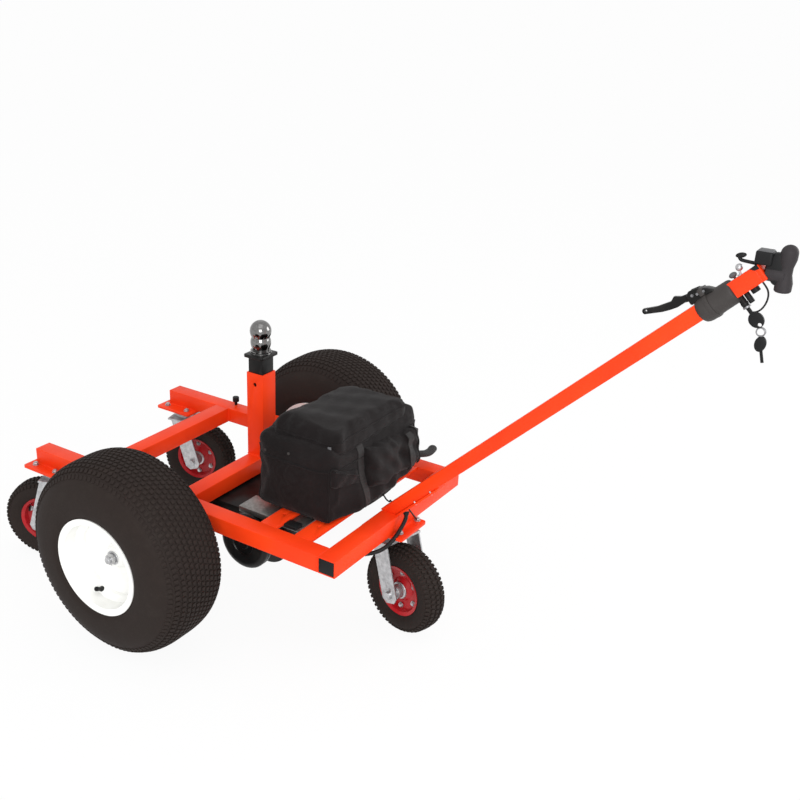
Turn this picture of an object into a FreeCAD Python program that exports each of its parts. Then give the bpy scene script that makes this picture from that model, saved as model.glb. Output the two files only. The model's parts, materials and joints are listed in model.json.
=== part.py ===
import FreeCAD, Part

import math
import operator
import os

import Sketcher

# Electric trailer dolly: a welded tube frame on a powered axle, three swivel casters, a raised
# tow ball and a drawbar with its controls. +Z is up, the handle end is towards -Y and the
# right-hand side is +X. The origin is on the floor, at the middle of the outline.

DRIVING = {
    # frame of rectangular tube, with offsets along Y counted from the drive axle
    "axle_y": 321.811,
    "frame_width": 540,
    "frame_top": 306,
    "rail_width": 45,
    "rail_height": 40,
    "tube_wall": 3,
    "front_offset": -454.5,
    "middle_offset": -21.5,
    "rear_offset": 250.5,
    "rail_end_offset": 451,
    "tray_front_offset": -361,
    "tray_rear_offset": -266,
    "tray_bar_thickness": 6,
    "plug_depth": 12,
    # hitch post and its sliding ball mount
    "post_x": 60,
    "post_side": 50,
    "post_top": 527,
    "pin_height": 498,
    "pin_hole_radius": 5,
    "mount_side": 43,
    "mount_bottom": 385,
    "mount_top": 567,
    "ball_radius": 26.5,
    "ball_height": 631,
    # powered axle
    "axle_height": 232,
    "axle_radius": 25,
    "axle_reach": 385,
    "case_left": -135,
    "case_right": 50,
    "motor_offset": -188,
    "motor_height": 230,
    "motor_radius": 50,
    "motor_length": 62,
    # drive wheels
    "wheel_x": 406,
    "tyre_radius": 232,
    "tyre_width": 200,
    "rim_radius": 116,
    "rim_width": 192,
    # casters
    "caster_radius": 108,
    "caster_width": 63,
    "caster_trail": 42,
    "caster_rim_radius": 62,
    "pad_thickness": 6,
    "pad_corner": 8,
    "front_pad": 112,
    "rear_pad": 120,
    "front_caster_offset": -450,
    "rear_caster_offset": 408,
    "left_caster_x": 242,
    "right_caster_x": 247,
    "front_caster_x": 17,
    "front_pad_x": 9,
    "front_caster_turn": -13.5,
    "left_caster_turn": 203.5,
    "right_caster_turn": 13,
    "top_plate_width": 98,
    "top_plate_depth": 100,
    # battery bag
    "bag_width": 350,
    "bag_depth": 212,
    "bag_height": 200,
    "bag_x": 22,
    "bag_offset": -277.5,
    # drawbar
    "bar_angle": 44.4,
    "bar_side": 30,
    "bar_length": 960,
    "bar_foot_offset": -457.6,
    "bar_foot_height": 315.5,
    "grip_offset": -1182,
}


class Size:
    """A number together with the sheet expression that gives it."""

    def __init__(self, value, text):
        self.value = float(value)
        self.text = text

    def __add__(self, other):
        return join(self, "+", other)

    def __radd__(self, other):
        return join(other, "+", self)

    def __sub__(self, other):
        return join(self, "-", other)

    def __rsub__(self, other):
        return join(other, "-", self)

    def __mul__(self, other):
        return join(self, "*", other)

    def __rmul__(self, other):
        return join(other, "*", self)

    def __truediv__(self, other):
        return join(self, "/", other)

    def __neg__(self):
        return join(0, "-", self)


OPERATIONS = {"+": operator.add, "-": operator.sub, "*": operator.mul, "/": operator.truediv}


def as_size(amount):
    return amount if isinstance(amount, Size) else Size(amount, repr(float(amount)))


def join(left, sign, right):
    left, right = as_size(left), as_size(right)
    return Size(OPERATIONS[sign](left.value, right.value), f"({left.text} {sign} {right.text})")


def sine(angle):
    return Size(math.sin(math.radians(angle.value)), f"sin({angle.text})")


def cosine(angle):
    return Size(math.cos(math.radians(angle.value)), f"cos({angle.text})")


doc = FreeCAD.newDocument("TrailerDolly")
sheet = doc.addObject("Spreadsheet::Sheet", "Sizes")
for row, (alias, amount) in enumerate(DRIVING.items(), start=1):
    sheet.set(f"A{row}", str(amount))
    sheet.setAlias(f"A{row}", alias)
doc.recompute()
dim = {alias: Size(amount, f"Sizes.{alias}") for alias, amount in DRIVING.items()}

X_AXIS = FreeCAD.Vector(1, 0, 0)
Y_AXIS = FreeCAD.Vector(0, 1, 0)
Z_AXIS = FreeCAD.Vector(0, 0, 1)
nodes = []


# ---- drawing helpers ----

def bind(item, prop, size):
    item.setExpression(prop, as_size(size).text)


def put(item, x=0, y=0, z=0, axis=Z_AXIS, angle=0):
    """Moves an item by bound amounts, turned about an axis first."""
    item.Placement = FreeCAD.Placement(FreeCAD.Vector(0, 0, 0), FreeCAD.Rotation(axis, as_size(angle).value))
    for name, amount in (("x", x), ("y", y), ("z", z)):
        bind(item, f"Placement.Base.{name}", amount)
    if isinstance(angle, Size):
        bind(item, "Placement.Rotation.Angle", angle)
    return item


def node(item, label, **where):
    """Names a finished sub-part, sets it in its place and lists it for writing."""
    item.Label = label
    if where:
        put(item, **where)
    nodes.append(item)
    return item


def block(name, width, depth, height, x=0, y=0, z=0):
    """A box centred on x and y, standing on z."""
    box = doc.addObject("Part::Box", name)
    bind(box, "Length", width)
    bind(box, "Width", depth)
    bind(box, "Height", height)
    return put(box, x - as_size(width) / 2, y - as_size(depth) / 2, z)


def rod(name, radius, length, along="Z", x=0, y=0, z=0):
    """A cylinder that starts at x, y, z and runs along an axis."""
    cylinder = doc.addObject("Part::Cylinder", name)
    bind(cylinder, "Radius", radius)
    bind(cylinder, "Height", length)
    turns = {"X": (Y_AXIS, 90), "Y": (X_AXIS, -90), "Z": (Z_AXIS, 0)}
    axis, angle = turns[along]
    return put(cylinder, x, y, z, axis, angle)


def fused(name, parts):
    union = doc.addObject("Part::MultiFuse", name)
    union.Shapes = parts
    return union


def cut(name, base, tools):
    difference = doc.addObject("Part::Cut", name)
    difference.Base = base
    difference.Tool = tools[0] if len(tools) == 1 else fused(name + "_tools", tools)
    return difference


def common(name, base, tool):
    overlap = doc.addObject("Part::Common", name)
    overlap.Base = base
    overlap.Tool = tool
    return overlap


def tube(name, width, depth, height, along, wall=None):
    """A rectangular tube with open ends, centred on x and y and standing on z = 0."""
    wall = wall or dim["tube_wall"]
    past_ends = 2
    outer = block(name + "_outside", width, depth, height)
    inner = {"X": (width + past_ends, depth - wall * 2, height - wall * 2, wall),
             "Y": (width - wall * 2, depth + past_ends, height - wall * 2, wall),
             "Z": (width - wall * 2, depth - wall * 2, height + past_ends, Size(-1, "-1"))}[along]
    return cut(name, outer, [block(name + "_inside", *inner[:3], z=inner[3])])


def origin_plane(body, role):
    return next(item for item in body.Origin.OriginFeatures if item.Role == role)


def sketch_on(body, name, role):
    sketch = body.newObject("Sketcher::SketchObject", name)
    sketch.AttachmentSupport = [(origin_plane(body, role), "")]
    sketch.MapMode = "FlatFace"
    return sketch


def fix_point(sketch, edge, end, across, up):
    """Ties one end of a sketch edge to two bound distances from the sketch's origin."""
    for kind, amount in (("DistanceX", across), ("DistanceY", up)):
        index = sketch.addConstraint(Sketcher.Constraint(kind, edge, end, amount.value))
        bind(sketch, f"Constraints[{index}]", amount)


def arc_between(start, finish, radius):
    """The short arc from start to finish; a positive radius bulges to the right of the way there."""
    chord = finish - start
    inward = FreeCAD.Vector(-chord.y, chord.x, 0).normalize() * math.copysign(1, radius)
    centre = (start + finish) / 2 + inward * math.sqrt(radius ** 2 - (chord.Length / 2) ** 2)
    ends = (start, finish) if radius > 0 else (finish, start)
    angles = [math.atan2(end.y - centre.y, end.x - centre.x) for end in ends]
    return Part.ArcOfCircle(Part.Circle(centre, Z_AXIS, abs(radius)), *angles)


def outline(sketch, corners):
    """A closed line through corners (across, up, radius of the arc to the next, or None)."""
    sized = [(as_size(across), as_size(up), bow) for across, up, bow in corners]
    points = [FreeCAD.Vector(across.value, up.value, 0) for across, up, bow in sized]
    for index, (across, up, bow) in enumerate(sized):
        start, finish = points[index], points[(index + 1) % len(points)]
        if bow is None:
            edge = sketch.addGeometry(Part.LineSegment(start, finish))
            fix_point(sketch, edge, 1, across, up)
            continue
        bow = as_size(bow)
        edge = sketch.addGeometry(arc_between(start, finish, bow.value))
        fix_point(sketch, edge, 1 if bow.value > 0 else 2, across, up)
        constraint = sketch.addConstraint(Sketcher.Constraint("Radius", edge, abs(bow.value)))
        bind(sketch, f"Constraints[{constraint}]", bow if bow.value > 0 else -bow)
    close_outline(sketch)


def close_outline(sketch):
    """Joins each edge's end to the next edge's start."""
    edges = sketch.Geometry
    for index, edge in enumerate(edges):
        following = edges[(index + 1) % len(edges)]
        for end, place in ((1, edge.StartPoint), (2, edge.EndPoint)):
            for start, other in ((1, following.StartPoint), (2, following.EndPoint)):
                if place.distanceToPoint(other) < 1e-6:
                    sketch.addConstraint(Sketcher.Constraint(
                        "Coincident", index, end, (index + 1) % len(edges), start))


def revolved(name, loops, about="Z"):
    """A body turned about its own Z or X axis from closed loops of (radius, distance along, bow)."""
    body = doc.addObject("PartDesign::Body", name)
    for number, corners in enumerate(loops, start=1):
        sketch = sketch_on(body, f"{name}_section{number}", "XZ_Plane")
        if about == "X":
            corners = [(along, radius, bow and -bow) for radius, along, bow in corners]
        outline(sketch, corners)
        turn = body.newObject("PartDesign::Revolution", f"{name}_turn{number}")
        turn.Profile = sketch
        turn.ReferenceAxis = (sketch, ["H_Axis" if about == "X" else "V_Axis"])
        turn.Angle = 360
        doc.recompute()
    return body


def extruded(name, corners, thickness, role, holes=()):
    """A plate of the given outline, padded evenly about its sketch plane, with round holes."""
    body = doc.addObject("PartDesign::Body", name)
    sketch = sketch_on(body, name + "_outline", role)
    outline(sketch, corners)
    pad = body.newObject("PartDesign::Pad", name + "_pad")
    pad.Profile = sketch
    bind(pad, "Length", thickness)
    pad.Midplane = True
    doc.recompute()
    if holes:
        drill(body, name, role, holes, thickness)
    return body


def drill(body, name, role, holes, thickness):
    """Cuts round holes (across, up, radius) right through a plate about its sketch plane."""
    before = body.Shape.Volume
    sketch = sketch_on(body, name + "_holes", role)
    for across, up, radius in holes:
        across, up, radius = as_size(across), as_size(up), as_size(radius)
        centre = FreeCAD.Vector(across.value, up.value, 0)
        circle = sketch.addGeometry(Part.Circle(centre, Z_AXIS, radius.value))
        fix_point(sketch, circle, 3, across, up)
        index = sketch.addConstraint(Sketcher.Constraint("Radius", circle, radius.value))
        bind(sketch, f"Constraints[{index}]", radius)
    pocket = body.newObject("PartDesign::Pocket", name + "_drilled")
    pocket.Profile = sketch
    bind(pocket, "Length", as_size(thickness) + 2)
    pocket.Midplane = True
    doc.recompute()
    taken = sum(math.pi * as_size(radius).value ** 2 for _, _, radius in holes) * as_size(thickness).value
    if abs(before - body.Shape.Volume - taken) > 0.01 * taken:
        raise RuntimeError(f"{name}: the holes took {before - body.Shape.Volume:.1f} mm3, not {taken:.1f}")


def plate(name, width, depth, thickness, corner, holes=(), role="XY_Plane"):
    """A rectangular plate with round corners, lying evenly about one of its origin planes."""
    width, depth, corner = as_size(width), as_size(depth), as_size(corner)
    right, back = width / 2, depth / 2
    corners = [(right - corner, -back, corner), (right, corner - back, None),
               (right, back - corner, corner), (right - corner, back, None),
               (corner - right, back, corner), (-right, back - corner, None),
               (-right, corner - back, corner), (corner - right, -back, None)]
    return extruded(name, corners, thickness, role, holes)


def cord(label, route, radius):
    """A round cord: straight runs joined by tangent arcs as large as the shorter run allows."""
    points = [FreeCAD.Vector(*(as_size(value).value for value in point)) for point in route]
    edges, start, radii = [], points[0], []
    for before, corner, after in zip(points, points[1:], points[2:]):
        back, ahead = before - corner, after - corner
        reach = 0.45 * min(back.Length, ahead.Length)
        turn = math.pi - back.getAngle(ahead)
        back.normalize()
        ahead.normalize()
        first, last = corner + back * reach, corner + ahead * reach
        bend = reach / math.tan(turn / 2)
        radii.append(round(bend, 1))
        inward = (back + ahead).normalize()
        middle = corner + inward * (bend / math.cos(turn / 2) - bend)
        edges += [Part.LineSegment(start, first).toShape(), Part.Arc(first, middle, last).toShape()]
        start = last
    edges.append(Part.LineSegment(start, points[-1]).toShape())
    path = Part.Wire(edges)
    section = Part.Wire(Part.Circle(points[0], points[1] - points[0], radius).toShape())
    solid = path.makePipeShell([section], True, True)
    expected = math.pi * radius ** 2 * path.Length
    if abs(solid.Volume / expected - 1) > 0.01:
        raise RuntimeError(f"{label}: volume {solid.Volume:.0f} mm3, not {expected:.0f}")
    print(f"{label}: {path.Length:.0f} mm long, {radius * 2:.1f} mm thick, bend radii {radii}")
    item = doc.addObject("Part::Feature", label + "_tube")
    item.Shape = solid
    return node(item, label)


# ---- frame ----

def build_frame():
    top, tall, wide = dim["frame_top"], dim["rail_height"], dim["rail_width"]
    bottom = top - tall
    axle_y = dim["axle_y"]
    front_y = axle_y + dim["front_offset"]
    rail_front = front_y + wide / 2
    rail_rear = axle_y + dim["rail_end_offset"]
    rail_x = dim["frame_width"] / 2 - wide / 2
    inner_width = dim["frame_width"] - wide * 2
    for side, x in (("left", -rail_x), ("right", rail_x)):
        rail = tube(side + "_rail_tube", wide, rail_rear - rail_front, tall, "Y")
        node(rail, side + "_side_rail", x=x, y=(rail_front + rail_rear) / 2, z=bottom)
    front = tube("front_tube", dim["frame_width"], wide, tall, "X")
    node(front, "front_cross_tube", y=front_y, z=bottom)
    for name, offset in (("middle", "middle_offset"), ("rear", "rear_offset")):
        crossing = tube(name + "_tube", inner_width, wide, tall, "X")
        node(crossing, name + "_cross_tube", y=axle_y + dim[offset], z=bottom)
    wall, depth = dim["tube_wall"], dim["plug_depth"]
    plug_x = dim["frame_width"] / 2 - depth / 2
    plugs = [block(side + "_plug", depth, wide - wall * 2, tall - wall * 2, x=x, z=wall)
             for side, x in (("left", -plug_x), ("right", plug_x))]
    node(fused("plugs", plugs), "front_tube_plugs", y=front_y, z=bottom)
    thin = dim["tray_bar_thickness"]
    for name in ("tray_front", "tray_rear"):
        bar = block(name + "_flat", inner_width, wide, thin)
        node(cut(name + "_bar_cut", bar, strap_holes(name, inner_width, thin)), name + "_bar",
             y=axle_y + dim[name + "_offset"], z=top - thin)


def strap_holes(name, span, thin):
    """Two screw holes near the ends of a tray bar."""
    radius = 4
    inset = 60
    return [rod(f"{name}_hole_{side}", radius, thin + 2, x=(span / 2 - inset) * sign, z=-1)
            for side, sign in (("left", -1), ("right", 1))]


# ---- hitch ----

def pin_drilling(name, side, height):
    """The cross-drilling of a square tube at one height."""
    return rod(name, dim["pin_hole_radius"], side + 4, "X", x=-(side / 2) - 2, z=height)


def build_hitch():
    side, top, foot = dim["post_side"], dim["post_top"], dim["frame_top"]
    x, y = dim["post_x"], dim["axle_y"] + dim["middle_offset"]
    post = tube("post_tube", side, side, top - foot, "Z")
    drilled = cut("post_drilled", post, [pin_drilling("post_pin_hole", side, dim["pin_height"] - foot)])
    node(drilled, "hitch_post", x=x, y=y, z=foot)
    inner = dim["mount_side"]
    bottom, head = dim["mount_bottom"], dim["mount_top"]
    steps = [pin_drilling(f"mount_pin_hole{number}", inner, dim["pin_height"] - bottom - 50 * number)
             for number in (0, 1, 2)]
    slider = tube("mount_tube", inner, inner, head - bottom, "Z")
    node(cut("mount_drilled", slider, steps), "hitch_inner_tube", x=x, y=y, z=bottom)
    thick = 8
    seat = plate("ball_seat", 66, 58, thick, 6)
    node(seat, "ball_plate", x=x, y=y, z=head + thick / 2)
    node(build_ball(head + thick), "tow_ball", x=x, y=y, z=head + thick)


def build_ball(seat_top):
    """A tow ball with a wrench collar, standing on z = 0."""
    radius, middle = dim["ball_radius"], dim["ball_height"] - seat_top
    collar_radius, collar_height, across_flats = 26, 20, 45
    neck_radius, neck_foot = 20.5, 24
    collar = common("ball_collar", rod("collar_disc", collar_radius, collar_height),
                    block("collar_flats", across_flats, 60, collar_height))
    neck = doc.addObject("Part::Cone", "ball_neck")
    bind(neck, "Radius1", neck_foot)
    bind(neck, "Radius2", neck_radius)
    bind(neck, "Height", middle - collar_height - radius * 0.8)
    put(neck, z=collar_height)
    ball = doc.addObject("Part::Sphere", "ball_round")
    bind(ball, "Radius", radius)
    put(ball, z=middle)
    above = block("above_ball", radius * 2, radius * 2, 10, z=middle + radius * 0.95)
    flat = cut("ball_flat", ball, [above])
    return fused("ball_whole", [collar, neck, flat])


# ---- powered axle ----

def build_axle():
    y, height, radius = dim["axle_y"], dim["axle_height"], dim["axle_radius"]
    left, right, reach = dim["case_left"], dim["case_right"], dim["axle_reach"]
    tubes = [rod("left_axle_tube", radius, reach + left, "X", x=-reach),
             rod("right_axle_tube", radius, reach - right, "X", x=right)]
    node(fused("axle_tubes_pair", tubes), "axle_tubes", y=y, z=height)
    motor_y, motor_z = dim["motor_offset"], dim["motor_height"] - height
    motor_radius = dim["motor_radius"]
    width = right - left
    case_top, sump_drop, sump_radius = 26, 24, 66
    case = fused("case_whole", [
        rod("case_axle_end", 32, width, "X", x=left),
        rod("case_motor_end", motor_radius + 1, width, "X", x=left, y=motor_y, z=motor_z),
        rod("case_sump", sump_radius, 40, "X", x=left, y=motor_y, z=motor_z - sump_drop),
        block("case_middle", width, -motor_y, case_top + 50, x=(left + right) / 2, y=motor_y / 2, z=-50)])
    node(case, "gear_case", y=y, z=height)
    length = dim["motor_length"]
    shell = rod("motor_shell", motor_radius, length, "X", left - length, y + motor_y, dim["motor_height"])
    node(shell, "drive_motor")
    bell, bell_deep = 66, 26
    cap = revolved("motor_cap_turned", [[
        (0, 0, None), (bell, 0, None), (bell, bell_deep - 8, 9), (bell - 8, bell_deep, None),
        (0, bell_deep, None)]], "X")
    node(cap, "motor_end_cap", x=left - length, y=y + motor_y, z=dim["motor_height"], axis=Z_AXIS, angle=180)
    hangers, below_tube = [], 12
    for side, sign in (("left", -1), ("right", 1)):
        x = (dim["frame_width"] / 2 - dim["rail_width"] / 2) * sign
        tall = dim["frame_top"] - dim["rail_height"] - height + below_tube
        cradle = block(side + "_cradle", dim["rail_width"], 70, tall, x=x, z=-below_tube)
        bore = rod(side + "_cradle_bore", radius, dim["rail_width"] + 4, "X", x=x - dim["rail_width"] / 2 - 2)
        hangers.append(cut(side + "_hanger", cradle, [bore]))
    node(fused("hanger_pair", hangers), "axle_hangers", y=y, z=height)
    controller_z, controller_thick, plug_thick = 290, 14, 8
    controller = plate("controller_shell", 66, 180, controller_thick, 3)
    node(controller, "controller_box", x=-150, y=y - 235, z=controller_z)
    plug = plate("plug_shell", 26, 34, plug_thick, 2)
    node(plug, "controller_plug", x=-187, y=y - 306, z=controller_z + (controller_thick + plug_thick) / 2)


# ---- wheels ----

def tyre(name, radius, width, rim, wall):
    """A tyre with squarish shoulders, hollow inside; rim gives its bead radius, half width and flange."""
    bead_radius, bead_half, flange = rim
    half, tall = width / 2, radius - bead_radius
    flank, flank_half = bead_radius + tall * 0.72, half * 0.995
    corner = radius - tall * 0.055
    tread = half * 0.74
    crown = tread * tread / (tall * 0.11) + tall * 0.0275
    side_bow, shoulder_bow = tall * 1.6, half * 0.36
    outer = [(bead_radius, -bead_half, None), (flange + 1, -bead_half - 1, side_bow),
             (flank, -flank_half, shoulder_bow), (corner, -tread, crown),
             (corner, tread, shoulder_bow), (flank, flank_half, side_bow),
             (flange + 1, bead_half + 1, None), (bead_radius, bead_half, None)]
    ceiling = radius - wall * 1.5
    inside = [(bead_radius, bead_half - wall, None), (flank, half - wall, None),
              (ceiling, tread - wall, None), (ceiling, wall - tread, None),
              (flank, wall - half, None), (bead_radius, wall - bead_half, None)]
    return revolved(name, [outer + inside], "X")


def build_drive_wheels():
    y, height = dim["axle_y"], dim["axle_height"]
    flange, half = dim["rim_radius"], dim["rim_width"] / 2
    seat, well, skin = flange - 12, flange - 24, 3
    barrel = [(flange, half - skin, None), (seat, half - skin * 2, None), (seat, half * 0.62, None),
              (well, half * 0.5, None), (well, -half * 0.5, None), (seat, -half * 0.62, None),
              (seat, skin * 2 - half, None), (flange, skin - half, None), (flange, -half, None),
              (seat - skin, skin - half, None), (seat - skin, -half * 0.62, None),
              (well - skin, -half * 0.5, None), (well - skin, half * 0.5, None),
              (seat - skin, half * 0.62, None), (seat - skin, half - skin, None), (flange, half, None)]
    face = 22
    weld = well - skin + 0.5
    disc = [(30, face - 4, None), (50, face - 4, None), (66, face + 8, None), (weld, face + 12, None),
            (weld, face + 16, None), (64, face + 12, None), (48, face, None), (30, face, None)]
    for side, sign in (("left", -1), ("right", 1)):
        where = {"x": dim["wheel_x"] * sign, "y": y, "z": height, "axis": Z_AXIS, "angle": 90 - 90 * sign}
        rim = (seat, half - skin * 2 - 1, flange)
        node(tyre(side + "_drive_tyre_body", dim["tyre_radius"], dim["tyre_width"], rim, 10),
             side + "_drive_tyre", **where)
        node(revolved(side + "_drive_rim_body", [barrel, disc], "X"), side + "_drive_rim", **where)
        hub = [(0, -12, None), (34, -12, None), (34, face - 12, None), (50, face - 12, None),
               (50, face - 4, None), (29.9, face - 4, None), (29.9, face + 6, None),
               (22, face + 18, None), (0, face + 18, None)]
        node(revolved(side + "_hub_body", [hub], "X"), side + "_wheel_hub", **where)


# ---- casters ----

def bolt_holes(shift=0):
    """The four holes that fix a caster's top plate to its pad, shifted along x."""
    reach_x, reach_y, radius = 38, 36, 4.5
    return [(shift + reach_x * i, reach_y * j, radius) for i in (-1, 1) for j in (-1, 1)]


def build_caster(name, x, offset, turn, pad_side, pad_x):
    bottom = dim["frame_top"] - dim["rail_height"]
    y, thick = dim["axle_y"] + offset, dim["pad_thickness"]
    pad = plate(name + "_pad_plate", pad_side, pad_side, thick, dim["pad_corner"], bolt_holes(x - pad_x))
    node(pad, name + "_caster_pad", x=pad_x, y=y, z=bottom - thick / 2)
    plate_thick = 3
    plate_bottom = bottom - thick - plate_thick
    wide, deep = dim["top_plate_width"], dim["top_plate_depth"]
    flat = plate(name + "_top_flat", wide, deep, plate_thick, 6, bolt_holes())
    race = revolved(name + "_race", [[
        (0, -33, None), (13, -33, None), (13, -26, None), (8, -26, None), (8, -8, None), (31, -8, None),
        (37, 0, None), (0, 0, None)]])
    put(flat, z=as_size(plate_thick / 2))
    node(fused(name + "_top_whole", [flat, race]), name + "_caster_plate", x=x, y=y, z=plate_bottom)
    node(build_fork(name, plate_bottom), name + "_caster_fork", x=x, y=y, axis=Z_AXIS, angle=turn)
    build_caster_wheel(name, x, y, turn)


def build_fork(name, plate_bottom):
    """Crown ring, crown plate and two straight legs, in line with the wheel at zero turn."""
    trail, axle = dim["caster_trail"], dim["caster_radius"]
    crown_top = plate_bottom - 20
    crown_thick, leg_thick, leg_x = 5, 4, 52
    bore = 8.05
    ring = revolved(name + "_ring", [[
        (bore, 0, None), (34, 0, None), (34, 6, None), (28, 11, None), (bore, 11, None)]])
    put(ring, z=crown_top)
    under_crown = crown_top - crown_thick
    span = block(name + "_crown_plate", leg_x * 2 + leg_thick, 62, crown_thick, z=under_crown)
    kingpin_hole = rod(name + "_crown_bore", bore, crown_thick + 2, z=under_crown - 1)
    crown = cut(name + "_crown", span, [kingpin_hole])
    legs = []
    for side, sign in (("left", -1), ("right", 1)):
        leg = extruded(f"{name}_{side}_leg", [
            (-28, under_crown, None), (-trail - 24, axle - 1, None), (-trail - 18, axle - 15, None),
            (-trail + 6, axle - 23, None), (-trail + 19.5, axle - 14.5, None), (20, under_crown, None)],
            leg_thick, "YZ_Plane", [(-trail, axle, 6.05)])
        legs.append(put(leg, x=as_size(leg_x * sign)))
    return fused(name + "_fork_whole", [ring, crown] + legs)


def build_caster_wheel(name, x, y, turn):
    """Axle bolt, split rim and tyre, all turned with their fork."""
    trail = dim["caster_trail"]
    place = {"x": x + trail * sine(turn), "y": y - trail * cosine(turn), "z": dim["caster_radius"],
             "axis": Z_AXIS, "angle": turn}
    shank, head, hub_end, fork_gap = 54, 7, 36.5, 50
    bolt = fused(name + "_bolt_whole", [
        rod(name + "_bolt_shank", 6, shank * 2, "X", x=-shank),
        rod(name + "_near_spacer", 11, fork_gap - hub_end, "X", x=-fork_gap),
        rod(name + "_far_spacer", 11, fork_gap - hub_end, "X", x=hub_end),
        rod(name + "_bolt_head", 9.5, head, "X", x=-shank - head),
        rod(name + "_bolt_nut", 9.5, head, "X", x=shank)])
    node(bolt, name + "_caster_axle", **place)
    seat = dim["caster_rim_radius"]
    half = [(seat - 9, 0, None), (seat - 5, 19, None), (seat, 22, None), (seat, 25, None),
            (seat - 8, 22, None), (seat - 12, 9, None), (30, 7, None), (15, 16, None),
            (15, 36, None), (6.05, 36, None)]
    mirrored = [(radius, -along, None) for radius, along, bow in reversed(half[1:])]
    node(revolved(name + "_rim_turned", [mirrored + half], "X"), name + "_caster_rim", **place)
    rubber = tyre(name + "_tyre_turned", dim["caster_radius"], dim["caster_width"],
                  (seat - 4.5, as_size(18.5), seat), 6)
    node(rubber, name + "_caster_tyre", **place)


def build_casters():
    build_caster("front", dim["front_caster_x"], dim["front_caster_offset"], dim["front_caster_turn"],
                 dim["front_pad"], dim["front_pad_x"])
    for side, sign in (("left", -1), ("right", 1)):
        x = dim[side + "_caster_x"] * sign
        build_caster(side + "_rear", x, dim["rear_caster_offset"], dim[side + "_caster_turn"],
                     dim["rear_pad"], x)


# ---- battery bag ----

def build_bag():
    tall = dim["bag_height"]
    bag = plate("bag_block", dim["bag_width"], dim["bag_depth"], tall, 24)
    y = dim["axle_y"] + dim["bag_offset"]
    node(bag, "battery_bag", x=dim["bag_x"], y=y, z=dim["frame_top"] + tall / 2)


# ---- drawbar ----

def on_bar(along, lift=0, x=0):
    """Where a piece sits on the drawbar: along it from its foot, lifted off its centre line."""
    slope, foot_y = dim["bar_angle"], dim["axle_y"] + dim["bar_foot_offset"]
    return {"x": x, "y": foot_y - along * cosine(slope) + lift * sine(slope),
            "z": dim["bar_foot_height"] + along * sine(slope) + lift * cosine(slope),
            "axis": X_AXIS, "angle": 90 - slope}


def build_drawbar():
    side, length = dim["bar_side"], dim["bar_length"]
    front_y, wide = dim["axle_y"] + dim["front_offset"], dim["rail_width"]
    below_foot = 30
    bar = put(tube("bar_tube", side, side, length + below_foot, "Z"), **on_bar(-below_foot))
    mitre = block("bar_mitre", 60, 160, 60, y=front_y, z=dim["frame_top"] - 60)
    node(cut("bar_mitred", bar, [mitre]), "handle_tube")
    thick, reach = 5, 140
    strap = block("bracket_strap", side + 10, thick, reach)
    put(strap, **on_bar(0, -side / 2 - thick, -(side + 10) / 2))
    corner = block("bracket_corner", 80, wide, dim["rail_height"], y=front_y,
                   z=dim["frame_top"] - dim["rail_height"])
    node(cut("bracket_fitted", strap, [corner]), "handle_bracket")


def build_grip():
    """Square rubber sleeve on the bar, with the brake lever in its saddle on top."""
    side, start, length = dim["bar_side"], 829, 71
    sleeve_wide, sleeve_deep, sag = 37, 42, 4
    sleeve = plate("sleeve_block", sleeve_wide, sleeve_deep, length, 9)
    put(sleeve, y=as_size(-sag), z=as_size(length / 2))
    hollow = block("sleeve_hollow", side, side, length + 2, z=-1)
    node(cut("sleeve_fitted", sleeve, [hollow]), "grip_sleeve", **on_bar(start))
    over, pivot_at, pivot_lift = sleeve_deep / 2 - sag, 846, 31
    saddle = extruded("saddle_side", [
        (over, -12, None), (34, -12, None), (41, -3, None), (38, 12, None), (29, 27, None),
        (over, 38, None)], 24, "YZ_Plane")
    slot = block("saddle_slot", 9, 24, 24, y=35, z=-13)
    node(cut("saddle_slotted", saddle, [slot]), "brake_lever_clamp", **on_bar(pivot_at))
    lever = extruded("lever_blade", [
        (-6, 6, None), (-7, -11, None), (-3.6, -20, None), (-3.4, -36, None), (-0.3, -49, None),
        (4.7, -64, None), (18.8, -93.5, 6.2), (28.5, -90.5, None), (18.3, -67, None), (11.8, -40, None),
        (16.3, -31, None), (9.5, -21, None), (7.5, -12, None), (7, 6, None)],
        8, "YZ_Plane", [(22.6, -88, 2.5)])
    node(lever, "brake_lever", **on_bar(pivot_at, pivot_lift))


def bar_end_room(name):
    """The space the drawbar takes up at its top end."""
    side, reach = dim["bar_side"], 80
    return put(block(name, side, side, reach), **on_bar(dim["bar_length"] - reach, -side / 2, -side / 2))


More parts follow.
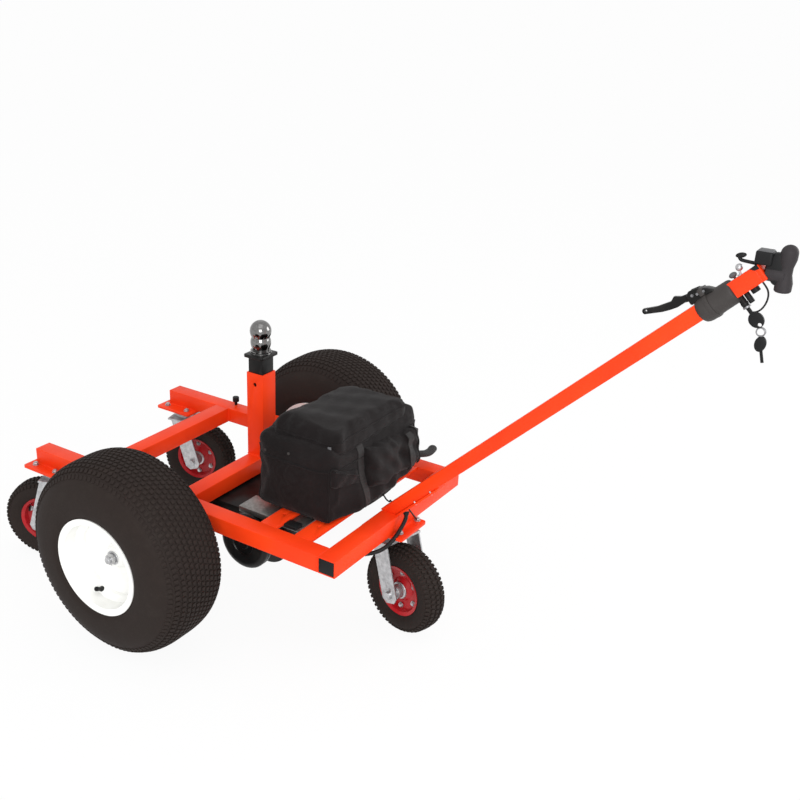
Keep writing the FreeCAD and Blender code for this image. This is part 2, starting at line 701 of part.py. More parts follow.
def build_bar_end():
    """Upright grip on a short neck at the end of the bar, with the control box and thumb lever behind it."""
    y, bottom, neck_at = dim["axle_y"] + dim["grip_offset"], 960, 28
    grip = revolved("grip_turned", [[
        (0, 0, None), (10, 0, 4), (14, 4, None), (14, 16, None), (10.5, 30, None), (10.5, 42, None),
        (14, 56, None), (14, 66, 14), (0, 80, None)]])
    put(grip, y=y, z=as_size(bottom))
    neck = rod("grip_neck", 13, 30, "Y", y=y, z=bottom + neck_at)
    node(cut("grip_whole", fused("grip_and_neck", [grip, neck]), [bar_end_room("grip_room")]), "end_grip")
    box_y, box_bottom, box_tall = y + 36.5, 1002, 23
    shell = put(plate("box_shell", 27, 29, box_tall, 5), y=box_y, z=as_size(box_bottom + box_tall / 2))
    clear = block("box_neck_room", 27, 80, 30, y=y, z=box_bottom - 30)
    node(cut("box_whole", shell, [bar_end_room("box_room"), clear]), "control_box")
    arm_y, arm_z, arm_long = y + 51, 997.5, 35
    thumb = fused("thumb_whole", [
        block("thumb_arm", 9, arm_long, 6, y=arm_y + arm_long / 2, z=arm_z),
        block("thumb_post", 6, 8, 9, y=arm_y + arm_long - 6, z=arm_z + 3),
        rod("thumb_knob", 5, 20, "Y", y=arm_y + 15, z=arm_z + 12)])
    node(thumb, "thumb_lever")


def key_outline(head, blade, shank):
    """Corners of a key with a round head: head and blade are half widths, shank is where the blade ends."""
    bow = 15
    return [(blade, shank, None), (blade, 13.5, bow), (head, -2, bow), (0, -16, bow), (-head, -2, bow),
            (-blade, 13.5, None), (-blade, shank, None)]


def build_switches():
    """Key switch and push buttons under the bar, with the key in its switch and a spare on the ring."""
    under, lock_at, lock_deep, button_at = -dim["bar_side"] / 2, 907.5, 21, 920
    lock = fused("lock_whole", [rod("lock_barrel", 6, lock_deep, "Y", y=-lock_deep),
                                rod("lock_bezel", 6.5, 4, "Y", y=4 - lock_deep)])
    node(lock, "key_switch", **on_bar(lock_at, under))
    buttons = fused("buttons_pair", [rod("long_button", 5, 20, "Y", y=-20),
                                     rod("short_button", 7.5, 9, "Y", y=-9, z=16)])
    node(buttons, "push_buttons", **on_bar(button_at, under))
    shank, hole, thick = 27, 11, 5
    drop = lock_deep + shank
    turned = [(up, across, bow) for across, up, bow in key_outline(12.5, 3, shank)]
    key = extruded("key_blank", turned, thick, "YZ_Plane", [(-hole, 0, 3.5)])
    node(key, "ignition_key", **on_bar(lock_at, under - drop))
    hung = on_bar(lock_at, under - drop - hole)
    ring_radius = 12
    ring = doc.addObject("Part::Torus", "ring_round")
    bind(ring, "Radius1", ring_radius)
    bind(ring, "Radius2", 1.2)
    put(ring, axis=X_AXIS, angle=90)
    hanging = [(across, -up, bow) for across, up, bow in key_outline(11, 2.5, 34)]
    spare = extruded("spare_blank", hanging, thick, "YZ_Plane", [(0, hole, 3.5)])
    put(spare, z=as_size(-ring_radius - hole), axis=Z_AXIS, angle=-18)
    node(fused("ring_and_spare", [ring, spare]), "spare_key_on_ring", y=hung["y"], z=hung["z"] - ring_radius)


# ---- wiring ----

def from_axle(x, offset, height):
    return x, dim["axle_y"] + offset, height


def bar_point(along, lift, x):
    place = on_bar(along, lift, x)
    return place["x"], place["y"], place["z"]


def build_wiring():
    under, over = -dim["bar_side"] / 2, dim["bar_side"] / 2
    under_strap = under - 5
    cord("switch_wire", [
        bar_point(952, under, 2), bar_point(952, -24, 3), bar_point(950, -33.5, 4.5),
        bar_point(943.5, -42.5, 5.5), bar_point(933, -50, 6), bar_point(921, -54, 6),
        bar_point(910, -52, 6), bar_point(903.5, -45, 5.5), bar_point(903, -36, 5)], 1.6)
    cord("control_cable", [
        bar_point(22, under_strap - 3, -5), from_axle(-9, -493.5, 306), from_axle(-15.5, -492.5, 295),
        from_axle(-24, -490, 283), from_axle(-37, -487.5, 269.5), from_axle(-56, -485.5, 260),
        from_axle(-80, -484.5, 255.5), from_axle(-104, -477, 253), from_axle(-124, -463, 252),
        from_axle(-142, -441, 251), from_axle(-156, -411, 250), from_axle(-166, -378, 250),
        from_axle(-169, -348, 250), from_axle(-166, -324, 252), from_axle(-162, -308, 262),
        from_axle(-162, -307.5, 282.7)], 5)
    cord("battery_lead", [
        from_axle(42, -383.5, 316), from_axle(42, -392, 316), from_axle(37, -404, 311.5),
        from_axle(28, -416, 309.5), from_axle(21, -427, 311), from_axle(13, -434.5, 316),
        bar_point(-8, over + 5, 9), bar_point(-8, over, 8.5)], 1.8)
    knob = fused("knob_whole", [rod("knob_stem", 4, 10), rod("knob_head", 9, 14, z=10)])
    node(knob, "rail_knob", x=258, y=dim["axle_y"] + 228, z=dim["frame_top"])


def main():
    build_frame()
    build_hitch()
    build_axle()
    build_drive_wheels()
    build_casters()
    build_bag()
    build_drawbar()
    build_grip()
    build_bar_end()
    build_switches()
    build_wiring()
    write_nodes()


def write_nodes():
    doc.recompute()
    for item in doc.Objects:
        if "Invalid" in item.State or "Error" in item.State:
            raise RuntimeError(f"{item.Name} ({item.Label}) failed: {item.State}")
    os.makedirs("parts", exist_ok=True)
    for item in nodes:
        shape = item.Shape
        if shape.isNull() or not shape.isValid():
            raise RuntimeError(f"{item.Label} has no valid shape")
        shape.exportStep(f"parts/{item.Label}.step")
        print(f"{item.Label}: {shape.Volume / 1000:.1f} cm3, {len(shape.Solids)} solid(s)")


main()
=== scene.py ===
import json
import math

import bmesh
import bpy
from mathutils import Matrix, Vector, noise
from mathutils.bvhtree import BVHTree


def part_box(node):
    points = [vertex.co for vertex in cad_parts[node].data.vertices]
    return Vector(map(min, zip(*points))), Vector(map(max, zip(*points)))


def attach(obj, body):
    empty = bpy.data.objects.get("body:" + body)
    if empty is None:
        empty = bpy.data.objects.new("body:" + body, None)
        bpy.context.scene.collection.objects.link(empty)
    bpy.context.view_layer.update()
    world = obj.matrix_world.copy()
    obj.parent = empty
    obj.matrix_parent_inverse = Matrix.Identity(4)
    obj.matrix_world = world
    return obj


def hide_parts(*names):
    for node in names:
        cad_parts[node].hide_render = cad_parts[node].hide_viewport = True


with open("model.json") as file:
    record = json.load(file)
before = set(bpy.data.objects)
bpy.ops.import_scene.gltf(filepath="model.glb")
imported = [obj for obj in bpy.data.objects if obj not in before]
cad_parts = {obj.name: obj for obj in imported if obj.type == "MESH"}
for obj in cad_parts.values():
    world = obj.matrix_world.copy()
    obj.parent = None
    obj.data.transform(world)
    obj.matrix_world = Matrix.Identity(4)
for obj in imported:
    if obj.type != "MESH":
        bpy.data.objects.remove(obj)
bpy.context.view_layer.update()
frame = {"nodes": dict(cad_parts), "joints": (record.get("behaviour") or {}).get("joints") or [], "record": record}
nodes = frame["nodes"]
joints = {joint["name"]: joint for joint in frame["joints"]}


def pivotOf(name):
    return Vector(joints[name]["pos_m"])


axleY = pivotOf("left_wheel_spin").y
print("frame loaded")


# the camera stands at the left front corner, a little above the ball
camera = {
    "place": (-1.8204, -1.2031, 1.4576),
    "heading": 55.21,  # degrees from +Y towards +X
    "tip": 24.79,
    "roll": 1.02,
    "lens": 47.02,
    "shift": (0.0930, 0.0476),
}


def makeCamera():
    data = bpy.data.cameras.new("studio_camera")
    data.sensor_width = 36
    data.lens = camera["lens"]
    data.shift_x, data.shift_y = camera["shift"]
    data.clip_end = 300
    eye = bpy.data.objects.new("studio_camera", data)
    bpy.context.scene.collection.objects.link(eye)
    turn = Matrix.Rotation(math.radians(-camera["heading"]), 4, "Z")
    tip = Matrix.Rotation(math.radians(90 - camera["tip"]), 4, "X")
    roll = Matrix.Rotation(math.radians(camera["roll"]), 4, "Z")
    eye.matrix_world = Matrix.Translation(camera["place"]) @ turn @ tip @ roll
    bpy.context.scene.camera = eye


makeCamera()


# shader sums are written as plain expressions
class Wire:  # one output socket, with Python's own operators for its maths
    def __init__(self, finish, socket):
        self.finish = finish
        self.socket = socket

    def maths(self, operation, *values, clamp=False):
        sockets = dict(enumerate(values))
        return self.finish.node("Math", {"operation": operation, "use_clamp": clamp}, sockets)

    def __add__(self, other):
        return self.maths("ADD", self, other)

    def __radd__(self, other):
        return self.maths("ADD", other, self)

    def __sub__(self, other):
        return self.maths("SUBTRACT", self, other)

    def __mul__(self, other):
        return self.maths("MULTIPLY", self, other)

    def __truediv__(self, other):
        return self.maths("DIVIDE", self, other)

    def clamped(self):
        return self.maths("ADD", self, 0, clamp=True)

    def above(self, edge, width):  # 0 below the edge, 1 above it, soft over the width
        return ((self - edge) / width + 0.5).clamped()


class Finish:  # a material and the nodes that paint it
    def __init__(self, name):
        self.material = bpy.data.materials.new(name)
        self.material.use_nodes = True
        self.tree = self.material.node_tree
        self.tree.nodes.clear()
        self.shader = self.tree.nodes.new("ShaderNodeBsdfPrincipled")
        self.out = self.tree.nodes.new("ShaderNodeOutputMaterial")
        self.tree.links.new(self.shader.outputs[0], self.out.inputs[0])

    def node(self, kind, settings=None, sockets=None, output=0):
        made = self.tree.nodes.new("ShaderNode" + kind)
        for name, value in (settings or {}).items():
            if name == "stops":
                self.setStops(made.color_ramp, value)
            else:
                setattr(made, name, value)
        for name, value in (sockets or {}).items():
            if isinstance(value, Wire):
                self.tree.links.new(value.socket, made.inputs[name])
            else:
                made.inputs[name].default_value = value
        return Wire(self, made.outputs[output])

    def setStops(self, ramp, stops):
        while len(ramp.elements) < len(stops):
            ramp.elements.new(0.5)
        for element, (place, tone) in zip(ramp.elements, stops):
            element.position = place
            element.color = (*tone, 1)

    def place(self):
        return self.node("TexCoord", output="Object")

    def grain(self, scale, detail=3, roughness=0.55, where=None):
        sockets = {"Vector": where or self.place(), "Scale": scale, "Detail": detail, "Roughness": roughness}
        return self.node("TexNoise", sockets=sockets)

    def blend(self, share, first, second):
        sockets = {0: share, 6: self.tone(first), 7: self.tone(second)}
        return self.node("Mix", {"data_type": "RGBA"}, sockets, 2)

    def tone(self, value):
        return value if isinstance(value, Wire) else (*value[:3], 1)

    def bump(self, height, depth, strength=1.0, under=None):
        sockets = {"Height": height, "Distance": depth, "Strength": strength}
        if under:
            sockets["Normal"] = under
        return self.node("Bump", sockets=sockets)

    def apply(self, **values):
        names = {"colour": "Base Color", "rough": "Roughness", "metal": "Metallic", "normal": "Normal",
                 "coat": "Coat Weight", "coatRough": "Coat Roughness", "sheen": "Sheen Weight",
                 "sheenRough": "Sheen Roughness", "gloss": "Specular IOR Level"}
        for name, value in values.items():
            socket = self.shader.inputs[names[name]]
            if isinstance(value, Wire):
                self.tree.links.new(value.socket, socket)
            elif name == "colour":
                socket.default_value = (*value, 1)
            else:
                socket.default_value = value
        return self.material


# paint, metal, rubber, cloth and plastic
paintTones = {
    "frame": (0.92, 0.054, 0.007),
    "frameDeep": (0.80, 0.038, 0.005),
    "black": (0.0075, 0.0070, 0.0070),
    "white": (0.93, 0.93, 0.91),
    "caster": (0.50, 0.010, 0.016),
}
paintSkin = {"peel": 0.00009, "coatRough": 0.16, "dustTone": (0.3, 0.27, 0.24)}


def sprayedPaint(name, tone, deepTone, rough=0.42, coat=0.05, gloss=0.14, dust=0.0):
    paint = Finish(name)
    cloud = paint.grain(7, 2)
    colour = paint.blend(cloud.above(0.52, 0.35), tone, deepTone)
    scuffs = paint.grain(34, 5, 0.7).above(0.70, 0.06)
    colour = paint.blend(scuffs * 0.25, colour, deepTone)
    if dust:
        film = paint.grain(18, 4, 0.65).above(0.56, 0.22)
        colour = paint.blend(film * dust, colour, paintSkin["dustTone"])
    peelHeight = paint.grain(420, 2)
    roughness = rough + (cloud - 0.5) * 0.12 + scuffs * 0.18
    return paint.apply(colour=colour, rough=roughness, coat=coat, coatRough=paintSkin["coatRough"],
                       gloss=gloss, normal=paint.bump(peelHeight, paintSkin["peel"]))


def platedSteel(name, tone, dullTone, rough, spangle=90, depth=0.00004, metal=1.0):
    plating = Finish(name)
    mottle = plating.grain(spangle, 3, 0.6)
    streak = plating.grain(26, 5, 0.7)
    colour = plating.blend(mottle.above(0.5, 0.3), tone, dullTone)
    colour = plating.blend(streak.above(0.62, 0.12) * 0.35, colour, [part * 0.55 for part in dullTone])
    roughness = rough + (mottle - 0.5) * 0.16 + streak.above(0.6, 0.2) * 0.12
    return plating.apply(colour=colour, rough=roughness, metal=metal,
                         normal=plating.bump(mottle, depth))


def treadRubber(name, tone, dustTone, dust=0.35, pebble=260):
    rubber = Finish(name)
    pebbles = rubber.grain(pebble, 3, 0.6)
    patches = rubber.grain(21, 5, 0.7)
    specks = rubber.grain(95, 4, 0.75).above(0.66, 0.08)
    colour = rubber.blend(patches.above(0.5, 0.4), tone, [part * 0.72 for part in tone])
    colour = rubber.blend((patches.above(0.63, 0.2) * 0.5 + specks * 0.5) * dust, colour, dustTone)
    roughness = 0.72 + (pebbles - 0.5) * 0.2 + specks * 0.1
    return rubber.apply(colour=colour, rough=roughness, gloss=0.2,
                        normal=rubber.bump(pebbles, 0.00025))


def grainedPlastic(name, tone, rough=0.5, grain=700, depth=0.00008, wear=0.25, gloss=0.2):
    plastic = Finish(name)
    pores = plastic.grain(grain, 2)
    worn = plastic.grain(40, 5, 0.7).above(0.66, 0.12)
    colour = plastic.blend(worn * wear, tone, [min(1, part * 2.2 + 0.01) for part in tone])
    return plastic.apply(colour=colour, rough=rough + (pores - 0.5) * 0.15 + worn * 0.12,
                         gloss=gloss, normal=plastic.bump(pores, depth))


threads = {"nylon": 0.0011, "webbing": 0.0024}


def threadWaves(cloth, pitch):  # a sine wave along each axis
    scaled = cloth.node("VectorMath", {"operation": "SCALE"}, {0: cloth.place(), "Scale": math.tau / pitch})
    waves = cloth.node("VectorMath", {"operation": "SINE"}, {0: scaled})
    split = cloth.node("SeparateXYZ", sockets={0: waves}).socket.node
    return [Wire(cloth, output) for output in split.outputs]


def wovenNylon(name, tone, paleTone):
    # two crossing thread waves in each pair of axes, so that every face of the bag shows a weave
    cloth = Finish(name)
    alongX, alongY, alongZ = threadWaves(cloth, threads["nylon"])
    weave = alongX * alongY + alongY * alongZ + alongZ * alongX
    slubs = cloth.grain(120, 3, 0.6)
    faded = cloth.grain(9, 4, 0.6).above(0.54, 0.3)
    lint = cloth.grain(160, 4, 0.8).above(0.72, 0.05)
    colour = cloth.blend(weave.above(0.1, 1.4) * 0.45, tone, paleTone)
    colour = cloth.blend(faded * 0.35 + lint * 0.25, colour, [part * 1.6 for part in paleTone])
    crumple = cloth.grain(30, 4, 0.6)
    rough = 0.72 + (slubs - 0.5) * 0.2
    normal = cloth.bump(weave * 0.5 + slubs, 0.00022, 0.8, under=cloth.bump(crumple, 0.0012, 0.55))
    return cloth.apply(colour=colour, rough=rough, sheen=0.06, sheenRough=0.5, gloss=0.13, normal=normal)


def webbing(name, tone, paleTone):
    band = Finish(name)
    alongX, alongY, alongZ = threadWaves(band, threads["webbing"])
    ribs = alongX + alongY + alongZ
    colour = band.blend(ribs.above(0.0, 1.6) * 0.5, tone, paleTone)
    return band.apply(colour=colour, rough=0.62, sheen=0.06, gloss=0.3, normal=band.bump(ribs, 0.0002))


finishes = {
    "frame_paint": sprayedPaint("orange_frame_paint", paintTones["frame"], paintTones["frameDeep"]),
    "black_paint": sprayedPaint("satin_black_paint", paintTones["black"], (0.004, 0.004, 0.004), 0.30,
                                gloss=0.16, dust=0.03),
    "white_paint": sprayedPaint("white_wheel_paint", paintTones["white"], (0.84, 0.84, 0.81), 0.40,
                                coat=0.15, dust=0.05),
    "red_paint": sprayedPaint("red_caster_paint", paintTones["caster"], (0.33, 0.008, 0.012), 0.34, coat=0.25,
                              dust=0.08),
    "zinc": platedSteel("zinc_plating", (0.60, 0.60, 0.61), (0.42, 0.42, 0.43), 0.36, metal=0.85),
    "polished_steel": platedSteel("polished_steel", (0.25, 0.247, 0.243), (0.18, 0.177, 0.174), 0.10,
                                  240, 0.00001),
    "tyre_rubber": treadRubber("tyre_rubber", (0.0220, 0.0145, 0.0120), (0.072, 0.056, 0.046), 0.28),
    "bag_fabric": wovenNylon("coated_bag_nylon", (0.0048, 0.0032, 0.0032), (0.0090, 0.0064, 0.0066)),
    "black_plastic": grainedPlastic("moulded_black_plastic", (0.0095, 0.0095, 0.0100)),
    "grey_plastic": grainedPlastic("moulded_grey_plastic", (0.105, 0.105, 0.11), 0.48),
    "soft_rubber": grainedPlastic("soft_grip_rubber", (0.036, 0.031, 0.029), 0.6, 420, 0.00018,
                                  gloss=0.4),
    "bare_aluminium": platedSteel("bare_aluminium", (0.26, 0.25, 0.24), (0.19, 0.18, 0.17), 0.36,
                                  160, metal=0.8),
    "cable_sheath": grainedPlastic("cable_sheath", (0.011, 0.011, 0.0115), 0.42, 500, 0.00005),
}
gripFinish = grainedPlastic("end_grip_rubber", (0.032, 0.028, 0.030), 0.6, 420, 0.00018)
dullZinc = platedSteel("dull_zinc", (0.33, 0.33, 0.34), (0.23, 0.23, 0.24), 0.42, metal=0.85)
strapFinish = webbing("bag_webbing", (0.0115, 0.0100, 0.0100), (0.026, 0.023, 0.022))
slotOf = {part["node"]: part["material_slot"] for part in frame["record"]["subparts"]}
for nodeName, item in nodes.items():
    item.data.materials.clear()
    item.data.materials.append(finishes[slotOf[nodeName]])
print("finishes made")


# a pale floor, a white world and three soft lamps
room = {
    "floorReach": 90,
    "floorGap": 0.0005,
    "floorTone": (0.86, 0.86, 0.86),
    "floorGlow": 0.93,
    "worldLight": 0.86,
}
lamps = {  # place, aim, size, power
    "overhead_softbox": ((-0.9, -0.6, 3.6), (0, 0, 0.3), (2.6, 2.6), 18),
    "front_softbox": ((-3.3, -2.2, 1.9), (0, 0, 0.3), (2.0, 2.0), 84),
    "side_softbox": ((2.6, -2.6, 1.6), (0, 0, 0.4), (1.8, 1.8), 42),
}


def makeFloor():
    bm = bmesh.new()
    bmesh.ops.create_grid(bm, x_segments=1, y_segments=1, size=room["floorReach"])
    mesh = bpy.data.meshes.new("studio_floor")
    bm.to_mesh(mesh)
    bm.free()
    floor = bpy.data.objects.new("studio_floor", mesh)
    bpy.context.scene.collection.objects.link(floor)
    floor.location.z = -room["floorGap"]
    pale = Finish("pale_floor")
    pale.tree.nodes.remove(pale.shader)
    matt = pale.node("BsdfDiffuse", sockets={"Color": (*room["floorTone"], 1)})
    glow = pale.node("Emission", sockets={"Color": (1, 1, 1, 1), "Strength": 1.0})
    lightPath = pale.node("LightPath", output="Is Camera Ray")
    glossy = Wire(pale, lightPath.socket.node.outputs["Is Glossy Ray"])
    passing = Wire(pale, lightPath.socket.node.outputs["Is Transmission Ray"])
    seen = (lightPath + glossy + passing).clamped() * room["floorGlow"]
    mixed = pale.node("MixShader", sockets={0: seen, 1: matt, 2: glow})
    pale.tree.links.new(mixed.socket, pale.out.inputs[0])
    mesh.materials.append(pale.material)


def makeWorld():
    world = bpy.data.worlds.new("studio_world")
    world.use_nodes = True
    bpy.context.scene.world = world
    tree = world.node_tree
    tree.nodes.clear()
    mixed = tree.nodes.new("ShaderNodeMixShader")
    for socket, strength in ((1, room["worldLight"]), (2, 1.0)):  # on the object, and seen by the camera
        light = tree.nodes.new("ShaderNodeBackground")
        light.inputs["Color"].default_value = (1, 1, 1, 1)
        light.inputs["Strength"].default_value = strength
        tree.links.new(light.outputs[0], mixed.inputs[socket])
    lightPath = tree.nodes.new("ShaderNodeLightPath")
    out = tree.nodes.new("ShaderNodeOutputWorld")
    tree.links.new(lightPath.outputs["Is Camera Ray"], mixed.inputs[0])
    tree.links.new(mixed.outputs[0], out.inputs[0])


def makeLamp(name, place, aim, size, power):
    data = bpy.data.lights.new(name, "AREA")
    data.shape = "RECTANGLE"
    data.size, data.size_y = size
    data.energy = power
    lamp = bpy.data.objects.new(name, data)
    bpy.context.scene.collection.objects.link(lamp)
    direction = Vector(aim) - Vector(place)
    lamp.matrix_world = Matrix.Translation(place) @ direction.to_track_quat("-Z", "Y").to_matrix().to_4x4()


makeFloor()
makeWorld()
for lampName, values in lamps.items():
    makeLamp(lampName, *values)
bpy.context.scene.view_settings.view_transform = "Standard"
print("room made")


# tools for the meshes
def facing(place, direction, twist=0.0):  # local Z looks along the direction
    turn = Vector(direction).to_track_quat("Z", "Y").to_matrix().to_4x4()
    return Matrix.Translation(place) @ turn @ Matrix.Rotation(twist, 4, "Z")


def soften(bm, edges, width, segments=2):
    if width > 0 and edges:
        bmesh.ops.bevel(bm, geom=edges, offset=width, offset_type="OFFSET", affect="EDGES",
                        segments=segments, profile=0.5, material=-1, clamp_overlap=True)


def cornersOf(verts, angle=40):
    edges = dict.fromkeys(edge for vert in verts for edge in vert.link_edges)  # keeps the order the same
    limit = math.radians(angle)
    return [edge for edge in edges if len(edge.link_faces) == 2 and edge.calc_face_angle() > limit]


def addBox(bm, size, matrix, width=0.0, segments=2):
    made = bmesh.ops.create_cube(bm, size=1, matrix=matrix @ Matrix.Diagonal((*size, 1)))
    soften(bm, cornersOf(made["verts"]), width, segments)


def addRod(bm, radius, length, matrix, sides=24, width=0.0, segments=2):
    # stands on the matrix's own plane and runs along its Z
    made = bmesh.ops.create_cone(bm, cap_ends=True, segments=sides, radius1=radius, radius2=radius,
                                 depth=length, matrix=matrix @ Matrix.Translation((0, 0, length / 2)))
    soften(bm, cornersOf(made["verts"]), width, segments)


def addTurned(bm, profile, matrix, steps=48, closed=True):
    # profile points are (radius, distance along Z)
    verts = [bm.verts.new(matrix @ Vector((radius, 0, along))) for radius, along in profile]
    edges = [bm.edges.new(pair) for pair in zip(verts, verts[1:])]
    if closed:
        edges.append(bm.edges.new((verts[-1], verts[0])))
    bmesh.ops.spin(bm, geom=verts + edges, cent=matrix.translation, axis=matrix.to_3x3() @ Vector((0, 0, 1)),
                   angle=math.tau, steps=steps, use_merge=True)


def addOutline(bm, corners, thick, matrix, width=0.0, segments=2):
    # a flat plate of the outline, centred on the matrix's own plane
    verts = [bm.verts.new(matrix @ Vector((x, y, -thick / 2))) for x, y in corners]
    made = bmesh.ops.extrude_face_region(bm, geom=[bm.faces.new(verts)])
    raised = [item for item in made["geom"] if isinstance(item, bmesh.types.BMVert)]
    bmesh.ops.translate(bm, vec=matrix.to_3x3() @ Vector((0, 0, thick)), verts=raised)
    soften(bm, cornersOf(verts + raised), width, segments)


def oval(wide, tall, count=28):
    turns = [math.tau * at / count for at in range(count)]
    return [(wide * math.cos(turn), tall * math.sin(turn)) for turn in turns]


def eggShape(wide, tall, steps=14):  # the profile of a turned oval
    turns = [math.pi * at / steps for at in range(steps + 1)]
    return [(wide * math.sin(turn), -tall * math.cos(turn)) for turn in turns]


# washer, head and thread end: radius, height and edge in thread diameters, and sides
boltShape = ((1.10, 0.20, 0.04, 20), (0.92, 0.60, 0.07, 6), (0.48, 0.28, 0.06, 12))


def addBolt(bm, place, direction, size, twist=0.0):  # size is the thread's diameter
    spot = facing(place, direction, twist)
    lift = 0.0
    for wide, tall, edge, sides in boltShape:
        stand = spot @ Matrix.Translation((0, 0, lift))
        addRod(bm, size * wide, size * tall, stand, sides, size * edge, segments=1)
        lift += size * tall


def keepPiece(name, bm, body, slotName, finish=None, smooth=38, replaced=(), recalc=True):
    if recalc:
        bmesh.ops.remove_doubles(bm, verts=bm.verts, dist=0.000001)
        bmesh.ops.dissolve_degenerate(bm, edges=bm.edges, dist=0.0000005)
        bmesh.ops.recalc_face_normals(bm, faces=bm.faces)
    mesh = bpy.data.meshes.new(name)
    bm.to_mesh(mesh)
    bm.free()
    mesh.shade_smooth()
    mesh.set_sharp_from_angle(angle=math.radians(smooth))
    mesh.materials.append(finish or finishes[slotName])
    piece = bpy.data.objects.new(name, mesh)
    bpy.context.scene.collection.objects.link(piece)
    if body:
        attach(piece, body)
    if replaced:
        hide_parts(*replaced)
    return piece


def roundedNode(nodeName, body, width, segments=2, angle=38, finish=None):
    # the node's own shape, its flat faces whole again and its sharp edges eased
    bm = bmesh.new()
    bm.from_mesh(nodes[nodeName].data)
    bmesh.ops.remove_doubles(bm, verts=bm.verts, dist=0.000002)
    bmesh.ops.dissolve_limit(bm, angle_limit=math.radians(1), verts=bm.verts, edges=bm.edges)
    soften(bm, cornersOf(bm.verts, angle), width, segments)
    return keepPiece(nodeName + "_eased", bm, body, slotOf[nodeName], finish, replaced=[nodeName])


def boxOf(nodeName):
    low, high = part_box(nodeName)
    return low, high, (low + high) / 2


# the drawbar runs forwards and up from its foot on the front tube
drawbar = {"slope": math.radians(44.4), "foot": Vector((0, axleY - 0.4576, 0.3155))}
barAlong = Vector((0, -math.cos(drawbar["slope"]), math.sin(drawbar["slope"])))
barUp = Vector((0, math.sin(drawbar["slope"]), math.cos(drawbar["slope"])))


def onBar(along, lift=0.0, x=0.0):
    return drawbar["foot"] + barAlong * along + barUp * lift + Vector((x, 0, 0))


def barFrame(along, lift=0.0, x=0.0):  # local X across, Y up off the bar, Z along it
    matrix = Matrix((Vector((1, 0, 0)), barUp, barAlong)).transposed().to_4x4()
    return Matrix.Translation(onBar(along, lift, x)) @ matrix


def fromAxle(x, offset, height):
    return Vector((x, axleY + offset, height))


# each cord runs along its route, and starts where it leaves the machine
cables = {
    "controlRadius": 0.005,
    "leadRadius": 0.0018,
    "switchRadius": 0.0016,
    "ridgePitch": 0.0032,
    "ridgeDepth": 0.0009,
}
controlRoute = [onBar(0.022, -0.023, -0.005)]
controlRoute += [fromAxle(*point) for point in (
    (-0.009, -0.4935, 0.306), (-0.0155, -0.4925, 0.295), (-0.024, -0.490, 0.283), (-0.037, -0.4875, 0.2695),
    (-0.056, -0.4855, 0.260), (-0.080, -0.4845, 0.2555), (-0.104, -0.477, 0.253), (-0.124, -0.463, 0.252),
    (-0.142, -0.441, 0.251), (-0.156, -0.411, 0.250), (-0.166, -0.378, 0.250), (-0.169, -0.348, 0.250),
    (-0.166, -0.324, 0.252), (-0.162, -0.308, 0.262), (-0.162, -0.3075, 0.2827),
)]
leadRoute = [fromAxle(*point) for point in (
    (0.042, -0.3835, 0.316), (0.042, -0.392, 0.316), (0.037, -0.404, 0.3115), (0.028, -0.416, 0.3095),
    (0.021, -0.427, 0.311), (0.013, -0.4345, 0.316),
)]
leadRoute += [onBar(-0.008, 0.020, 0.009), onBar(-0.008, 0.015, 0.0085)]
switchRoute = [onBar(*point) for point in (
    (0.952, -0.015, 0.002), (0.952, -0.024, 0.003), (0.950, -0.0335, 0.0045), (0.9435, -0.0425, 0.0055),
    (0.933, -0.050, 0.006), (0.921, -0.054, 0.006), (0.910, -0.052, 0.006), (0.9035, -0.045, 0.0055),
    (0.903, -0.036, 0.005),
)]


def cordCurve(name, points, radius=0.0):
    curve = bpy.data.curves.new(name, "CURVE")
    curve.dimensions = "3D"
    spline = curve.splines.new("NURBS")
    spline.points.add(len(points) - 1)
    for knot, place in zip(spline.points, points):
        knot.co = (*place, 1)
    spline.order_u = 3
    spline.use_endpoint_u = True
    curve.resolution_u = 10
    curve.bevel_depth = radius
    curve.bevel_resolution = 4
    curve.use_fill_caps = True
    piece = bpy.data.objects.new(name, curve)
    bpy.context.scene.collection.objects.link(piece)
    return piece


def pointsAlong(route):  # points on the route's smooth line
    guide = cordCurve("cord_guide", route)
    mesh = bpy.data.meshes.new_from_object(guide)
    points = [vert.co.copy() for vert in mesh.vertices]
    bpy.data.objects.remove(guide)
    bpy.data.meshes.remove(mesh)
    return points


def evenPoints(points, pitch):
    lengths = [0.0]
    for first, second in zip(points, points[1:]):
        lengths.append(lengths[-1] + (second - first).length)
    count = max(2, round(lengths[-1] / pitch))
    found, at = [], 0
    for step in range(count + 1):
        target = lengths[-1] * step / count
        while at < len(points) - 2 and lengths[at + 1] < target:
            at += 1
        share = (target - lengths[at]) / max(1e-9, lengths[at + 1] - lengths[at])
        found.append(points[at].lerp(points[at + 1], share))
    return found


def framesAlong(points):  # turned as little as possible from one to the next
    found = []
    turn = None
    for at, point in enumerate(points):
        ahead = points[min(at + 1, len(points) - 1)] - points[max(at - 1, 0)]
        ahead.normalize()
        if turn is None:
            turn = ahead.to_track_quat("Z", "Y")
        else:
            turn = (turn @ Vector((0, 0, 1))).rotation_difference(ahead) @ turn
        found.append(Matrix.Translation(point) @ turn.to_matrix().to_4x4())
    return found


